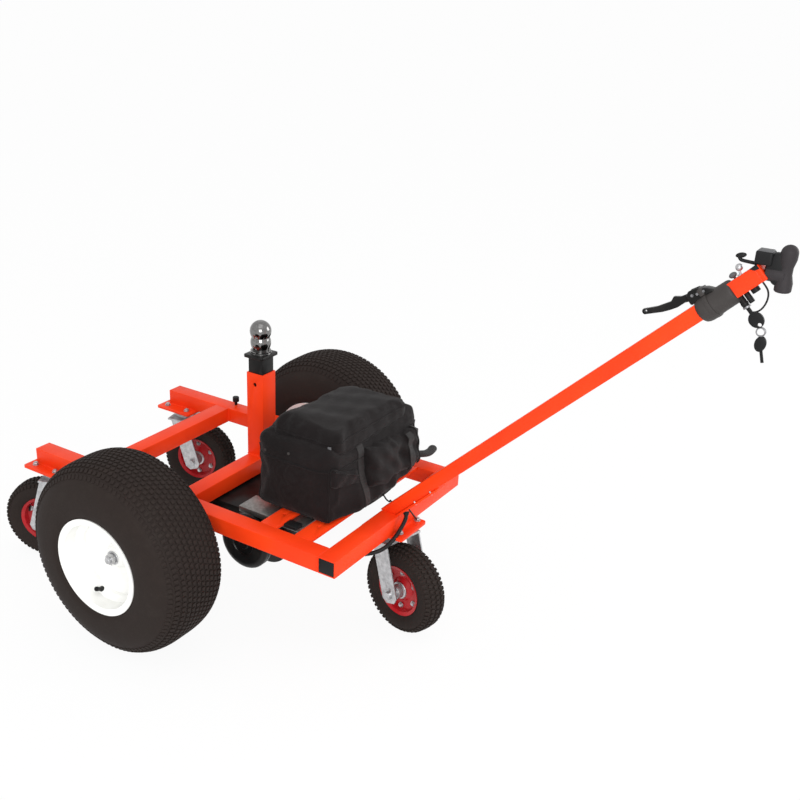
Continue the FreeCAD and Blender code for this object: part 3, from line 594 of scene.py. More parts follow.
def addSweep(bm, frames, radii, sides=12, squash=1.0, twist=0.0):
    flat = Matrix.Diagonal((1, squash, 1, 1)) @ Matrix.Rotation(twist, 4, "Z")
    ring = bmesh.ops.create_circle(bm, cap_ends=True, radius=radii[0], segments=sides,
                                   matrix=frames[0] @ flat)["verts"]
    members = set(ring)
    around = dict.fromkeys(edge for vert in ring for edge in vert.link_edges)
    edges = [edge for edge in around if set(edge.verts) <= members]
    for at in range(1, len(frames)):
        made = bmesh.ops.extrude_edge_only(bm, edges=edges)["geom"]
        members = {item for item in made if isinstance(item, bmesh.types.BMVert)}
        edges = [item for item in made
                 if isinstance(item, bmesh.types.BMEdge) and set(item.verts) <= members]
        change = frames[at] @ Matrix.Scale(radii[at] / radii[at - 1], 4) @ frames[at - 1].inverted()
        bmesh.ops.transform(bm, matrix=change, verts=list(members))
    bmesh.ops.edgeloop_fill(bm, edges=edges)


def lengthOf(points):
    return sum((second - first).length for first, second in zip(points, points[1:]))


def makeConduit():
    # corrugated sleeve over the cable that goes from the drawbar down to the controller
    line = pointsAlong(controlRoute)
    points = evenPoints(line, cables["ridgePitch"] / 4)
    outer = cables["controlRadius"]
    inner = outer - cables["ridgeDepth"]
    radii = [outer if at % 4 < 2 else inner for at in range(len(points))]
    bm = bmesh.new()
    addSweep(bm, framesAlong(points), radii, 14)
    conduit = keepPiece("control_conduit", bm, "chassis", "cable_sheath", smooth=60,
                        replaced=["control_cable"])


def makeCord(name, route, radius, replaced):
    piece = cordCurve(name, route, radius)
    piece.data.materials.append(finishes["cable_sheath"])
    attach(piece, "chassis")
    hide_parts(replaced)
    lengthOf(pointsAlong(route))


makeConduit()
makeCord("battery_lead_cord", leadRoute, cables["leadRadius"], "battery_lead")
makeCord("switch_lead_cord", switchRoute, cables["switchRadius"], "switch_wire")
print("cords laid")


# edge radii and weld beads of the frame
frameEdges = {
    "tube": 0.0032,
    "flat": 0.0012,
    "bead": 0.0021,
    "beadPitch": 0.0022,
    "beadInset": 0.003,
    "beadSink": 0.0006,
    "padInset": 0.010,
}
railNames = ("left_side_rail", "right_side_rail")
for nodeName in railNames + ("front_cross_tube", "middle_cross_tube", "rear_cross_tube"):
    roundedNode(nodeName, "chassis", frameEdges["tube"], 3)
for nodeName in ("tray_front_bar", "tray_rear_bar", "front_tube_plugs", "axle_hangers", "controller_plug"):
    roundedNode(nodeName, "chassis", frameEdges["flat"])


def addBead(bm, corners, radius, closed=False):
    # a run of weld, slightly uneven along its length
    route = [Vector(corner) for corner in corners]
    if closed:
        route.append(route[0])
    points = evenPoints(route, frameEdges["beadPitch"])
    radii = []
    for at, point in enumerate(points):
        ripple = 0.12 * math.sin(at * 1.9) + 0.25 * noise.noise(point * 90)
        radii.append(radius * (1 + ripple))
    radii[0] = radii[-1] = radius * 0.4
    addSweep(bm, framesAlong(points), radii, 7)


def makeWelds():
    bead, inset, sink = (frameEdges[key] for key in ("bead", "beadInset", "beadSink"))
    bm = bmesh.new()

    def addUpright(x, y, low, high, radius):
        addBead(bm, [(x, y, high.z - inset), (x, y, low.z + inset)], radius)

    for crossing in ("middle_cross_tube", "rear_cross_tube", "tray_front_bar", "tray_rear_bar"):
        low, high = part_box(crossing)
        top = high.z - sink
        for x in (low.x, high.x):
            addBead(bm, [(x, low.y + inset, top), (x, high.y - inset, top)], bead * 0.55)
            for y in (low.y, high.y):
                addUpright(x, y, low, high, bead)
    low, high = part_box("front_cross_tube")
    y, top = high.y, high.z - sink
    for nodeName in railNames:
        railLow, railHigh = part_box(nodeName)
        addBead(bm, [(railLow.x + inset, y, top), (railHigh.x - inset, y, top)], bead * 0.55)
        for x in (railLow.x, railHigh.x):
            addUpright(x, y, low, high, bead * 0.8)
    low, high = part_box("hitch_post")
    foot = [(low.x, low.y), (high.x, low.y), (high.x, high.y), (low.x, high.y)]
    addBead(bm, [(x, y, low.z) for x, y in foot], bead, True)
    inset = frameEdges["padInset"]
    for caster in ("front", "left_rear", "right_rear"):
        low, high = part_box(caster + "_caster_pad")
        if caster == "front":
            tubeLow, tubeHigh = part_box("front_cross_tube")
            for y in (tubeLow.y, tubeHigh.y):
                addBead(bm, [(low.x + inset, y, high.z), (high.x - inset, y, high.z)], bead)
        else:
            tubeLow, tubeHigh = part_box(caster.split("_")[0] + "_side_rail")
            end = min(high.y, tubeHigh.y) - 0.004
            for x in (tubeLow.x, tubeHigh.x):
                addBead(bm, [(x, low.y + inset, high.z), (x, end, high.z)], bead)
    keepPiece("frame_weld_beads", bm, "chassis", "frame_paint", smooth=60)


makeWelds()


ball = {
    "radius": 0.0265,
    "height": 0.631,
    "flatTop": 0.95,  # share of the radius at which the top is cut flat
    "waist": 0.0135,
    # below the ball, (radius, height under its centre): a short waist, then the swelling of the shank
    "shank": ((0.0226, 0.0138), (0.0224, 0.0152), (0.0229, 0.0168), (0.0243, 0.0205), (0.0252, 0.0250),
              (0.0253, 0.0300), (0.0246, 0.0350), (0.0232, 0.0400), (0.0216, 0.0445), (0.0208, 0.0475)),
    "washers": ((0.0240, 0.0478), (0.0252, 0.0483), (0.0252, 0.0503), (0.0228, 0.0508), (0.0228, 0.0520),
                (0.0264, 0.0526), (0.0268, 0.0532), (0.0268, 0.0560)),
    "nutRadius": 0.0185,
    "nutTall": 0.016,
}


def makeHitch():
    roundedNode("hitch_post", "chassis", 0.0042, 3)
    roundedNode("hitch_inner_tube", "ball_mount", 0.0035, 3)
    roundedNode("ball_plate", "ball_mount", 0.0016)
    _, _, centre = boxOf("tow_ball")
    radius, share = ball["radius"], ball["flatTop"]
    top, bottom = math.asin(share), -math.asin(ball["waist"] / radius)
    steps = [top + (bottom - top) * at / 24 for at in range(24)]
    crest = radius * share + 0.0002
    profile = [(0, crest), (radius * math.cos(top) * 0.6, crest)]
    profile += [(radius * math.cos(angle), radius * math.sin(angle)) for angle in steps]
    profile += [(reach, -under) for reach, under in ball["shank"] + ball["washers"]]
    profile.append((0, profile[-1][1]))
    bm = bmesh.new()
    addTurned(bm, profile, Matrix.Translation((centre.x, centre.y, ball["height"])), 72, closed=False)
    keepPiece("tow_ball_turned", bm, "ball_mount", "polished_steel", smooth=30, replaced=["tow_ball"])
    nut = bmesh.new()
    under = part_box("ball_plate")[0].z - ball["nutTall"]
    addRod(nut, ball["nutRadius"], ball["nutTall"], Matrix.Translation((centre.x, centre.y, under)), 6, 0.0012)
    keepPiece("tow_ball_nut", nut, "ball_mount", "zinc")


makeHitch()
print("frame and hitch made")


driveTyre = {
    "pitches": 104,
    "rows": (0.0, 0.0135, 0.027, 0.0405, 0.054, 0.0670, 0.0790),
    "blockLong": 0.0095,
    "blockWide": 0.0095,
    "blockTall": 0.0070,
    "blockYaw": 0.16,
    "standProud": 0.0030,
    "beadHeel": ((0.1050, 0.0900), (0.1120, 0.0918)),
    "seat": 0.1165,  # radius where the side wall leaves the rim
    "crown": 0.2288,
    "half": 0.0985,
    "wallRound": 2.9,
    "shoulderRound": 3.6,
    "inside": ((0.2160, 0.0300), (0.2120, 0.0600), (0.1950, 0.0800), (0.1300, 0.0850), (0.1150, 0.0800),
               (0.1050, 0.0800)),
}


def sideWall(shape, steps):
    # from the bead to the crown
    seat, crown, half = shape["seat"], shape["crown"], shape["half"]
    points = list(shape["beadHeel"])
    for step in range(steps + 1):
        angle = math.radians(2 + 85 * step / steps)
        radius = seat + (crown - seat) * math.sin(angle) ** (2 / shape["wallRound"])
        away = half * math.cos(angle) ** (2 / shape["shoulderRound"])
        points.append((radius, away))
    return points


driveTyre["flank"] = sideWall(driveTyre, 22)


def outlineAt(flank, along):  # radius and slope of the carcass at a distance from the middle
    points = [(along, radius) for radius, along in reversed(flank)]
    for (near, nearRadius), (far, farRadius) in zip(points, points[1:]):
        if near <= along <= far:
            share = (along - near) / (far - near)
            slope = math.atan2(nearRadius - farRadius, far - near)
            return nearRadius + (farRadius - nearRadius) * share, slope
    return points[0][1], 0.0


def mirrored(points):
    return [(radius, -along) for radius, along in reversed(points)]


def addTyreShell(bm, shape, spot, steps):
    flank, inside = list(shape["flank"]), list(shape["inside"])
    addTurned(bm, flank + mirrored(flank) + mirrored(inside) + inside, spot, steps)


def addTreadRow(bm, shape, spot, along, size, shift, proud, tilt=None, yaw=0.0):
    # one block of the row; the whole pitch is then carried round the tyre
    radius, slope = outlineAt(shape["flank"], abs(along))
    lean = slope if tilt is None else tilt
    side = 1 if along >= 0 else -1
    long, wide, tall = size
    around = Matrix.Rotation(shift, 4, "Z")
    rise = Matrix.Translation((radius, 0, along)) @ Matrix.Rotation(-lean * side, 4, "Y")
    stand = Matrix.Rotation(yaw * side, 4, "X") @ Matrix.Translation((proud - tall / 2, 0, 0))
    addBox(bm, (tall, long, wide), spot @ around @ rise @ stand, min(long, wide) * 0.11, 1)


def carryRound(bm, geom, spot, count):
    bmesh.ops.spin(bm, geom=geom, cent=spot.translation, axis=spot.to_3x3() @ Vector((0, 0, 1)),
                   angle=math.tau * (count - 1) / count, steps=count - 1, use_duplicate=True)


def outwardSpot(side):  # at the wheel's middle, looking outwards
    return facing(pivotOf(side + "_wheel_spin"), (-1 if side == "left" else 1, 0, 0))


def makeDriveTyre(side):
    spot = outwardSpot(side)
    bm = bmesh.new()
    pitch = math.tau / driveTyre["pitches"]
    long, wide, tall = driveTyre["blockLong"], driveTyre["blockWide"], driveTyre["blockTall"]
    for number, along in enumerate(driveTyre["rows"]):
        for hand in ((1,) if along == 0 else (1, -1)):
            shift = pitch * (0.5 if number % 2 else 0.0)
            onShoulder, atEdge = number > 4, number > 5
            size = (long * 0.92, wide * 1.15, tall) if onShoulder else (long, wide, tall)
            proud = driveTyre["standProud"] * (0.6 if atEdge else 1.0)
            yaw = driveTyre["blockYaw"] if number else 0.0
            addTreadRow(bm, driveTyre, spot, along * hand, size, shift, proud, yaw=yaw)
    carryRound(bm, bm.verts[:] + bm.edges[:] + bm.faces[:], spot, driveTyre["pitches"])
    addTyreShell(bm, driveTyre, spot, 120)
    keepPiece(side + "_drive_tyre_treaded", bm, side + "_drive_wheel", "tyre_rubber", smooth=32,
              replaced=[side + "_drive_tyre"])


tyreValve = {
    "turn": -69.5,  # degrees from +Y towards up
    "reach": 0.098,
    "depth": 0.048,
    "long": 0.030,
    "outwards": 0.83,
    "inwards": 0.55,  # towards the hub
}
hubTrim = {
    "bolts": 5,
    "boltTurn": 0.3,
    "boltReach": 0.0415,
    "boltDepth": 0.010,
    "boltSize": 0.010,
    "hubEnd": 0.040,
    # washer, nut and thread end, (radius, height, stand-off, sides, edge)
    "nut": ((0.0165, 0.0028, 0, 32, 0.0005), (0.0135, 0.0110, 0.0028, 6, 0.0010),
            (0.0078, 0.0200, 0, 20, 0.0008)),
    "pinLift": 0.0160,
    "pinTip": 1.35,
    "pinLeans": (0.4, -1.1),  # the two ends of the split pin
    "pin": (0.0014, 0.0150),
    # hand holes in the disc, drawn as thin black plates that paint the shade seen through them
    "holes": 5,
    "holeTurn": 0.93,
    "holeReach": 0.0580,
    "holeDepth": 0.0255,
    "holeLean": -0.62,
    "hole": (0.0062, 0.0135),
}


def makeTyreValve(side):
    outward = Vector((-1 if side == "left" else 1, 0, 0))
    turn = math.radians(tyreValve["turn"])
    away = Vector((0, math.cos(turn), math.sin(turn)))
    base = pivotOf(side + "_wheel_spin") + away * tyreValve["reach"] + outward * tyreValve["depth"]
    long = tyreValve["long"]
    profile = [(0, 0), (0.0078, 0), (0.0080, 0.004), (0.0056, 0.008), (0.0046, 0.014), (0.0046, long - 0.008),
               (0.0054, long - 0.0075), (0.0054, long - 0.001), (0.0044, long), (0, long)]
    direction = outward * tyreValve["outwards"] - away * tyreValve["inwards"]
    stem = bmesh.new()
    addTurned(stem, profile, facing(base, direction), 18, closed=False)
    keepPiece(side + "_tyre_valve", stem, side + "_drive_wheel", "black_plastic")


def makeHubTrim(side):
    body = side + "_drive_wheel"
    spot = outwardSpot(side)
    bolts = bmesh.new()
    for turned in range(hubTrim["bolts"]):
        turn = math.tau * turned / hubTrim["bolts"] + hubTrim["boltTurn"]
        around = spot @ Matrix.Rotation(turn, 4, "Z")
        place = around @ Vector((hubTrim["boltReach"], 0, hubTrim["boltDepth"]))
        addBolt(bolts, place, around.to_3x3() @ Vector((0, 0, -1)), hubTrim["boltSize"])
    end = spot @ Matrix.Translation((0, 0, hubTrim["hubEnd"]))
    for radius, tall, lift, sides, edge in hubTrim["nut"]:
        addRod(bolts, radius, tall, end @ Matrix.Translation((0, 0, lift)), sides, edge, segments=1)
    pinSpot = end @ Matrix.Translation((0, 0, hubTrim["pinLift"])) @ Matrix.Rotation(hubTrim["pinTip"], 4, "Y")
    for lean in hubTrim["pinLeans"]:
        addRod(bolts, *hubTrim["pin"], pinSpot @ Matrix.Rotation(lean, 4, "X"), 8)
    keepPiece(side + "_hub_bolts", bolts, body, "zinc")
    # thin black plates just proud of the disc stand for its hand holes: painted shade of the dark wheel inside,
    # not real plugs
    holes = bmesh.new()
    for turned in range(hubTrim["holes"]):
        turn = math.tau * turned / hubTrim["holes"] + hubTrim["holeTurn"]
        stand = Matrix.Translation((hubTrim["holeReach"], 0, hubTrim["holeDepth"]))
        place = spot @ Matrix.Rotation(turn, 4, "Z") @ stand @ Matrix.Rotation(hubTrim["holeLean"], 4, "Y")
        addOutline(holes, oval(*hubTrim["hole"], 24), 0.0022, place, 0.0006, 1)
    keepPiece(side + "_disc_hole_plugs", holes, body, "black_plastic")


for sideName in ("left", "right"):
    makeDriveTyre(sideName)
    makeTyreValve(sideName)
    makeHubTrim(sideName)
print("drive wheels made")


casterTyre = {
    "lugs": 54,
    # rows of lugs: place, size, share of the pitch, height over the carcass, tilt, yaw
    "rows": (
        (0.0265, (0.0068, 0.0100, 0.0070), 0.0, 0.0026, 0.72, 0.0),
        (0.0145, (0.0072, 0.0090, 0.0070), 0.5, 0.0034, None, 0.35),
        (0.0, (0.0076, 0.0095, 0.0070), 0.0, 0.0036, None, 0.0),
    ),
    "flank": ((0.0575, 0.0185), (0.0622, 0.0232), (0.0655, 0.0250), (0.0700, 0.0272), (0.0770, 0.0300),
              (0.0850, 0.0312), (0.0905, 0.0308), (0.0955, 0.0288), (0.0990, 0.0258), (0.1015, 0.0215),
              (0.1032, 0.0150), (0.1040, 0.0070)),
    "inside": ((0.0980, 0.0120), (0.0930, 0.0240), (0.0700, 0.0230), (0.0575, 0.0150)),
}
casterTrim = {
    "boltReach": 0.0440,
    "boltSize": 0.0062,
    "bolts": 6,
    "face": 0.0095,
    "sleeve": ((0.0155, 0.016), (0.0205, 0.0165), (0.0215, 0.0180), (0.0205, 0.0200), (0.0172, 0.0215),
               (0.0166, 0.0345), (0.0158, 0.0362), (0.0120, 0.0366), (0.0112, 0.0362), (0.0112, 0.0345),
               (0.0152, 0.0335)),
    "valve": ((0, 0), (0.0045, 0), (0.0042, 0.004), (0.0030, 0.006), (0.0030, 0.016), (0.0022, 0.017),
              (0, 0.017)),
    "valveTurn": 2.6,
    "valveReach": 0.050,
    "valveLean": -25,
}
casterMount = {"across": 0.038, "back": 0.036, "boltSize": 0.0075}
casterNames = ("front", "left_rear", "right_rear")


def makeCasterTyre(caster, spot):
    bm = bmesh.new()
    pitch = math.tau / casterTyre["lugs"]
    for hand in (1, -1):
        for along, size, share, proud, tilt, yaw in casterTyre["rows"]:
            if along or hand > 0:
                addTreadRow(bm, casterTyre, spot, along * hand, size, pitch * share, proud, tilt, yaw)
    carryRound(bm, bm.verts[:] + bm.edges[:] + bm.faces[:], spot, casterTyre["lugs"])
    addTyreShell(bm, casterTyre, spot, 88)
    keepPiece(caster + "_caster_tyre_lugged", bm, caster + "_caster_wheel", "tyre_rubber", smooth=32,
              replaced=[caster + "_caster_tyre"])


def makeCasterTrim(caster, spot):
    body = caster + "_caster_wheel"
    bolts, caps = bmesh.new(), bmesh.new()
    for turn in range(casterTrim["bolts"]):
        around = spot @ Matrix.Rotation(math.tau * (turn + 0.5) / casterTrim["bolts"], 4, "Z")
        for side in (1, -1):
            place = around @ Vector((casterTrim["boltReach"], 0, casterTrim["face"] * side))
            addBolt(bolts, place, around.to_3x3() @ Vector((0, 0, side)), casterTrim["boltSize"])
    keepPiece(caster + "_rim_bolts", bolts, body, "zinc")
    for flip in (0, math.pi):
        addTurned(caps, casterTrim["sleeve"], spot @ Matrix.Rotation(flip, 4, "X"), 36)
    keepPiece(caster + "_hub_sleeves", caps, body, "zinc")
    stem = bmesh.new()
    stand = Matrix.Translation((casterTrim["valveReach"], 0, casterTrim["face"]))
    lean = Matrix.Rotation(math.radians(casterTrim["valveLean"]), 4, "Y")
    place = spot @ Matrix.Rotation(casterTrim["valveTurn"], 4, "Z") @ stand @ lean
    addTurned(stem, casterTrim["valve"], place, 14, closed=False)
    keepPiece(caster + "_valve_stem", stem, body, "black_plastic")


def makeCasterMount(caster):
    roundedNode(caster + "_caster_pad", "chassis", 0.0014)
    roundedNode(caster + "_caster_plate", "chassis", 0.0007, 2)
    roundedNode(caster + "_caster_fork", caster + "_swivel", 0.0012, 2)
    swivel = pivotOf(caster + "_swivel_turn")
    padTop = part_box(caster + "_caster_pad")[1].z
    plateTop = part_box(caster + "_caster_plate")[1].z
    size = casterMount["boltSize"]
    bolts = bmesh.new()
    for across in (-casterMount["across"], casterMount["across"]):
        for back in (-casterMount["back"], casterMount["back"]):
            x, y = swivel.x + across, swivel.y + back
            addBolt(bolts, (x, y, padTop), (0, 0, 1), size, twist=across * 40)
            addBolt(bolts, (x, y, plateTop - 0.003), (0, 0, -1), size, twist=back * 30)
    keepPiece(caster + "_pad_bolts", bolts, "chassis", "zinc")


for casterName in casterNames:
    joint = joints[casterName + "_wheel_spin"]
    wheelSpot = facing(Vector(joint["pos_m"]), Vector(joint["axis"]))
    makeCasterTyre(casterName, wheelSpot)
    makeCasterTrim(casterName, wheelSpot)
    makeCasterMount(casterName)
print("casters made")


gearCase = {"bolts": 6, "boltReach": 0.026, "boltSize": 0.006, "height": 0.232}
motorRibs = 7


def makeMotorBell():
    low, high, middle = boxOf("motor_end_cap")
    deep, wide = high.x - low.x, (high.z - low.z) / 2
    profile = [
        (0, 0.0005), (wide - 0.001, 0.0005), (wide, 0.0015), (wide, deep * 0.30), (wide - 0.0012, deep * 0.33),
        (wide - 0.0012, deep * 0.40), (wide, deep * 0.43), (wide, deep * 0.70), (wide - 0.0015, deep * 0.82),
        (wide - 0.0045, deep * 0.92), (wide - 0.009, deep * 0.985), (wide - 0.016, deep), (0.030, deep),
        (0.028, deep - 0.002), (0.016, deep - 0.002), (0.014, deep), (0, deep),
    ]
    bell = bmesh.new()
    addTurned(bell, profile, facing((high.x, middle.y, middle.z), (-1, 0, 0)), 72, closed=False)
    keepPiece("motor_bell", bell, "chassis", "black_paint", smooth=35, replaced=["motor_end_cap"])


def makeMotorShell():
    low, high, middle = boxOf("drive_motor")
    span, radius = high.x - low.x, (high.z - low.z) / 2
    profile = [(0, 0), (radius - 0.0005, 0)]
    for rib in range(motorRibs):
        at = span * (rib + 0.5) / motorRibs
        profile += [(radius - 0.003, at - span * 0.045), (radius, at - span * 0.035),
                    (radius, at + span * 0.035), (radius - 0.003, at + span * 0.045)]
    profile += [(radius - 0.0005, span), (0, span)]
    shell = bmesh.new()
    addTurned(shell, profile, facing((low.x, middle.y, middle.z), (1, 0, 0)), 64, closed=False)
    keepPiece("motor_shell_ribbed", shell, "chassis", "black_paint", smooth=35, replaced=["drive_motor"])


def makeGearBolts():
    low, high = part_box("gear_case")
    reach = gearCase["boltReach"]
    bolts = bmesh.new()
    for turn in range(gearCase["bolts"]):
        angle = math.tau * turn / gearCase["bolts"]
        for side, x in ((1, high.x), (-1, low.x)):
            place = fromAxle(x, reach * math.cos(angle), gearCase["height"] + reach * math.sin(angle))
            addBolt(bolts, place, (side, 0, 0), gearCase["boltSize"])
    keepPiece("gear_case_bolts", bolts, "chassis", "zinc")


def makeAxle():
    roundedNode("gear_case", "chassis", 0.003, 3, 45)
    roundedNode("controller_box", "chassis", 0.0012)
    makeMotorBell()
    makeMotorShell()
    makeGearBolts()


makeAxle()


battery = {
    "voxel": 0.0048,
    "frames": 20,
    "pressure": 4.0,
    # box corners, radius of the upright corners and of the other edges, most that the cloth may move
    "body": {"low": (-0.156, -0.0590, 0.3065), "high": (0.211, 0.1460, 0.4930),
             "corner": 0.014, "edge": 0.016, "cap": 0.005, "slack": 0.010, "fill": 0.75},
    "lid": {"low": (-0.140, -0.0640, 0.4660), "high": (0.172, 0.1280, 0.5060),
            "corner": 0.030, "edge": 0.012, "cap": 0.008, "slack": 0.012, "fill": 0.45},
    "pocket": {"low": (-0.030, -0.0800, 0.3380), "high": (0.188, -0.0500, 0.4520),
               "corner": 0.010, "edge": 0.011, "cap": 0.011, "slack": 0.060, "fill": 0.35},
    "pouch": {"low": (-0.148, -0.0700, 0.3960), "high": (-0.050, -0.0500, 0.4480),
              "corner": 0.008, "edge": 0.007, "cap": 0.007, "slack": 0.050, "fill": 0.3},
    "wrinkle": 0.0009,
    "wrinkleTurns": 38,
    "piping": 0.0022,
    "band": (0.024, 0.0022),
}
# how far the slack cloth hangs, bulges and folds
bodySlack = {"fold": 0.0012, "front": 0.021, "end": 0.011, "corner": 0.003, "left": 0.005, "right": 0.009}
lidSlack = {"crown": 0.006, "left": 0.011, "back": 0.011, "dips": (0.0010, 0.0007)}
pocketSlack = {"fold": 0.0022, "hollow": 0.010, "slump": 0.009, "hem": 0.022, "top": 0.016}
pouchSlack = {"fold": 0.0024, "slope": 0.36}
bagTrim = {
    "middle": (0.015, 0.040),
    # seams round the bag: cloth, height, then lift and radius as shares of the piping's radius
    "rings": (("lid", 0.4705, 0.25, 1.0), ("lid", 0.4965, 0.1, 0.8), ("body", 0.4360, 0.2, 1.0)),
    # upright seams: two on the front corners, one near the back of the left end
    "cornersX": (-0.1525, 0.2075),
    "frontY": -0.0555,
    "backSeamY": 0.1425,
    # straps: cloth, X, top, bottom, share of the band's width
    "straps": (("body", -0.040, 0.470, 0.322, 1.0), ("pocket", 0.136, 0.448, 0.348, 0.8),
               ("pocket", 0.176, 0.440, 0.350, 0.8)),
    "handle": ((0.185, -0.046, 0.350), (0.208, -0.060, 0.349), (0.230, -0.070, 0.343),
               (0.251, -0.074, 0.338), (0.272, -0.074, 0.339), (0.288, -0.070, 0.342)),
    "handleRadius": 0.0112,
    "handleTaper": (0.45, 0.8, 0.97),  # towards its free end
    "handleSquash": 0.72,
    "rivet": (0.0034, 0.0022),
    "rivetsAt": ((0.1165, 0.4480), (0.0520, 0.4560)),  # Y and Z on the left end
    "pullerFrom": (-0.40, -0.20, 0.483),
    "pullerTowards": (1, 0.59, 0),
}


def startForm(shape):
    low, high = Vector(shape["low"]), Vector(shape["high"])
    bm = bmesh.new()
    place = Matrix.Translation((low + high) / 2)
    bmesh.ops.create_cube(bm, size=1, matrix=place @ Matrix.Diagonal((*(high - low), 1)))
    upright = [edge for edge in bm.edges if abs(edge.verts[0].co.z - edge.verts[1].co.z) > 0.001]
    soften(bm, upright, shape["corner"], 5)
    soften(bm, cornersOf(bm.verts, 60), shape["edge"], 3)
    return bm


def remeshed(bm, name, voxel):
    mesh = bpy.data.meshes.new(name)
    bm.to_mesh(mesh)
    bm.free()
    source = bpy.data.objects.new(name, mesh)
    bpy.context.scene.collection.objects.link(source)
    skin = source.modifiers.new("even_skin", "REMESH")
    skin.mode = "VOXEL"
    skin.voxel_size = voxel
    made = bpy.data.meshes.new_from_object(source.evaluated_get(bpy.context.evaluated_depsgraph_get()))
    bpy.data.objects.remove(source)
    return made


def blowUp(mesh, shape, held):
    # the cloth fills a little from inside, and no point moves further than the cap
    scene = bpy.context.scene
    piece = bpy.data.objects.new("cloth_form", mesh)
    scene.collection.objects.link(piece)
    group = piece.vertex_groups.new(name="held")
    group.add([vert.index for vert in mesh.vertices if held(vert.co)], 1.0, "REPLACE")
    cloth = piece.modifiers.new("cloth", "CLOTH")
    settings = cloth.settings
    settings.quality = 5
    settings.mass = 0.2
    settings.tension_stiffness = 15
    settings.compression_stiffness = 15
    settings.shear_stiffness = 5
    settings.bending_stiffness = 0.4
    settings.use_pressure = True
    settings.uniform_pressure_force = battery["pressure"]
    settings.effector_weights.gravity = 0
    settings.shrink_min = -shape["slack"]
    settings.vertex_group_mass = "held"
    for frameNumber in range(1, battery["frames"] + 1):
        scene.frame_set(frameNumber)
    blown = piece.evaluated_get(bpy.context.evaluated_depsgraph_get()).data
    for vert, moved in zip(mesh.vertices, [vert.co.copy() for vert in blown.vertices]):
        step = moved - vert.co
        if step.length > shape["cap"]:
            step *= shape["cap"] / step.length
        vert.co += step
    bpy.data.objects.remove(piece)
    scene.frame_set(1)


def makePadded(name, shape, held, shaping):
    mesh = remeshed(startForm(shape), name, battery["voxel"])
    for vert in mesh.vertices:
        vert.co += noise.noise_vector(vert.co * battery["wrinkleTurns"]) * battery["wrinkle"]
    blowUp(mesh, shape, held)
    bm = bmesh.new()
    bm.from_mesh(mesh)
    bpy.data.meshes.remove(mesh)
    for vert in bm.verts:
        vert.co += shaping(vert.co)
    for _ in range(2):
        bmesh.ops.smooth_vert(bm, verts=bm.verts, factor=0.5,
                              use_axis_x=True, use_axis_y=True, use_axis_z=True)
    tree = BVHTree.FromBMesh(bm)
    piece = keepPiece(name, bm, "chassis", "bag_fabric", smooth=180, recalc=False)
    rounding = piece.modifiers.new("rounding", "SUBSURF")
    rounding.levels = rounding.render_levels = 1
    return piece, tree


def fadeAt(value, start, end):  # 0 at the start, 1 at the end
    return min(1.0, max(0.0, (value - start) / (end - start)))


def swell(value, start, end):  # the same, eased at both ends
    share = fadeAt(value, start, end)
    return share * share * (3 - 2 * share)


def sagBody(place):
    # the shoulders round off, the right end bulges, the low front hangs out, and the walls have slack folds
    left = fadeAt(place.y, 0.05, 0.15) * fadeAt(-place.x, 0.10, 0.16)
    right = fadeAt(place.x, 0.11, 0.20)
    high = fadeAt(place.z, 0.40, 0.49)
    fold = math.sin(place.z * 150 + place.x * 22 + place.y * 31)
    wrinkle = fold * bodySlack["fold"] * fadeAt(place.z, 0.36, 0.45)
    sideways = wrinkle * (1 if place.y < 0.04 else -1)
    if place.y < -0.03:
        along = swell(place.x, -0.125, -0.060) * (1 - 0.7 * swell(place.x, 0.075, 0.135))
        uneven = 1 + 0.12 * math.sin(place.x * 90)
        sideways += bodySlack["front"] * along * swell(place.z, 0.415, 0.330) * uneven
    belly = math.sin(math.pi * fadeAt(place.z, 0.335, 0.478))
    bulge = bodySlack["end"] * swell(place.x, 0.150, 0.205) * belly
    droop = high * (bodySlack["left"] * left + bodySlack["right"] * right)
    return Vector((bodySlack["corner"] * left + bulge, -sideways, -droop))


def crownLid(place):
    # raised in the middle and most on its left, lower along the back and at the right end
    up = fadeAt(place.z, 0.476, 0.503)
    middle = 1 - fadeAt(abs(place.x + 0.01), 0, 0.16) ** 3
    back = fadeAt(place.y, 0.06, 0.135)
    long, short = lidSlack["dips"]
    dip = long * math.sin(place.x * 85 + place.y * 40) + short * math.sin(place.y * 150 - place.x * 30)
    across = swell(place.y, -0.04, 0.05) * (1 - swell(place.y, 0.095, 0.135))
    raised = lidSlack["left"] * swell(-place.x, 0.0, 0.10) * across
    return Vector((0, 0, up * (lidSlack["crown"] * middle + raised - lidSlack["back"] * back * back + dip)))


def foldPocket(place):
    # the loose front has slumped into slanting folds, and its left end hangs in a point
    front = fadeAt(-place.y, 0.056, 0.078)
    slant = place.x * 0.75 + place.z
    fold = math.sin(slant * 150) + 0.6 * math.sin(slant * 74 + place.x * 50) + 0.4 * math.sin(place.x * 140)
    dent = math.exp(-(((place.x - 0.105) / 0.020) ** 2))
    hollow = pocketSlack["hollow"] * dent * fadeAt(place.z, 0.345, 0.375)
    slump = pocketSlack["slump"] * math.sin(fadeAt(place.z, 0.338, 0.395) * math.pi)
    hem = pocketSlack["hem"] * fadeAt(place.x, 0.03, -0.03) * fadeAt(place.z, 0.38, 0.34)
    top = pocketSlack["top"] * fadeAt(place.x, 0.02, 0.19) * fadeAt(place.z, 0.41, 0.45)
    return Vector((0, front * (fold * pocketSlack["fold"] + hollow - slump), hem - top))


def foldPouch(place):
    front = fadeAt(-place.y, 0.055, 0.070)
    slope = -pouchSlack["slope"] * (place.x + 0.150) * fadeAt(place.z, 0.392, 0.412)
    return Vector((0, front * pouchSlack["fold"] * math.sin((place.x - place.z) * 150), slope))


def hit(tree, start, direction):
    place, normal, _, _ = tree.ray_cast(Vector(start), Vector(direction).normalized())
    return place, normal


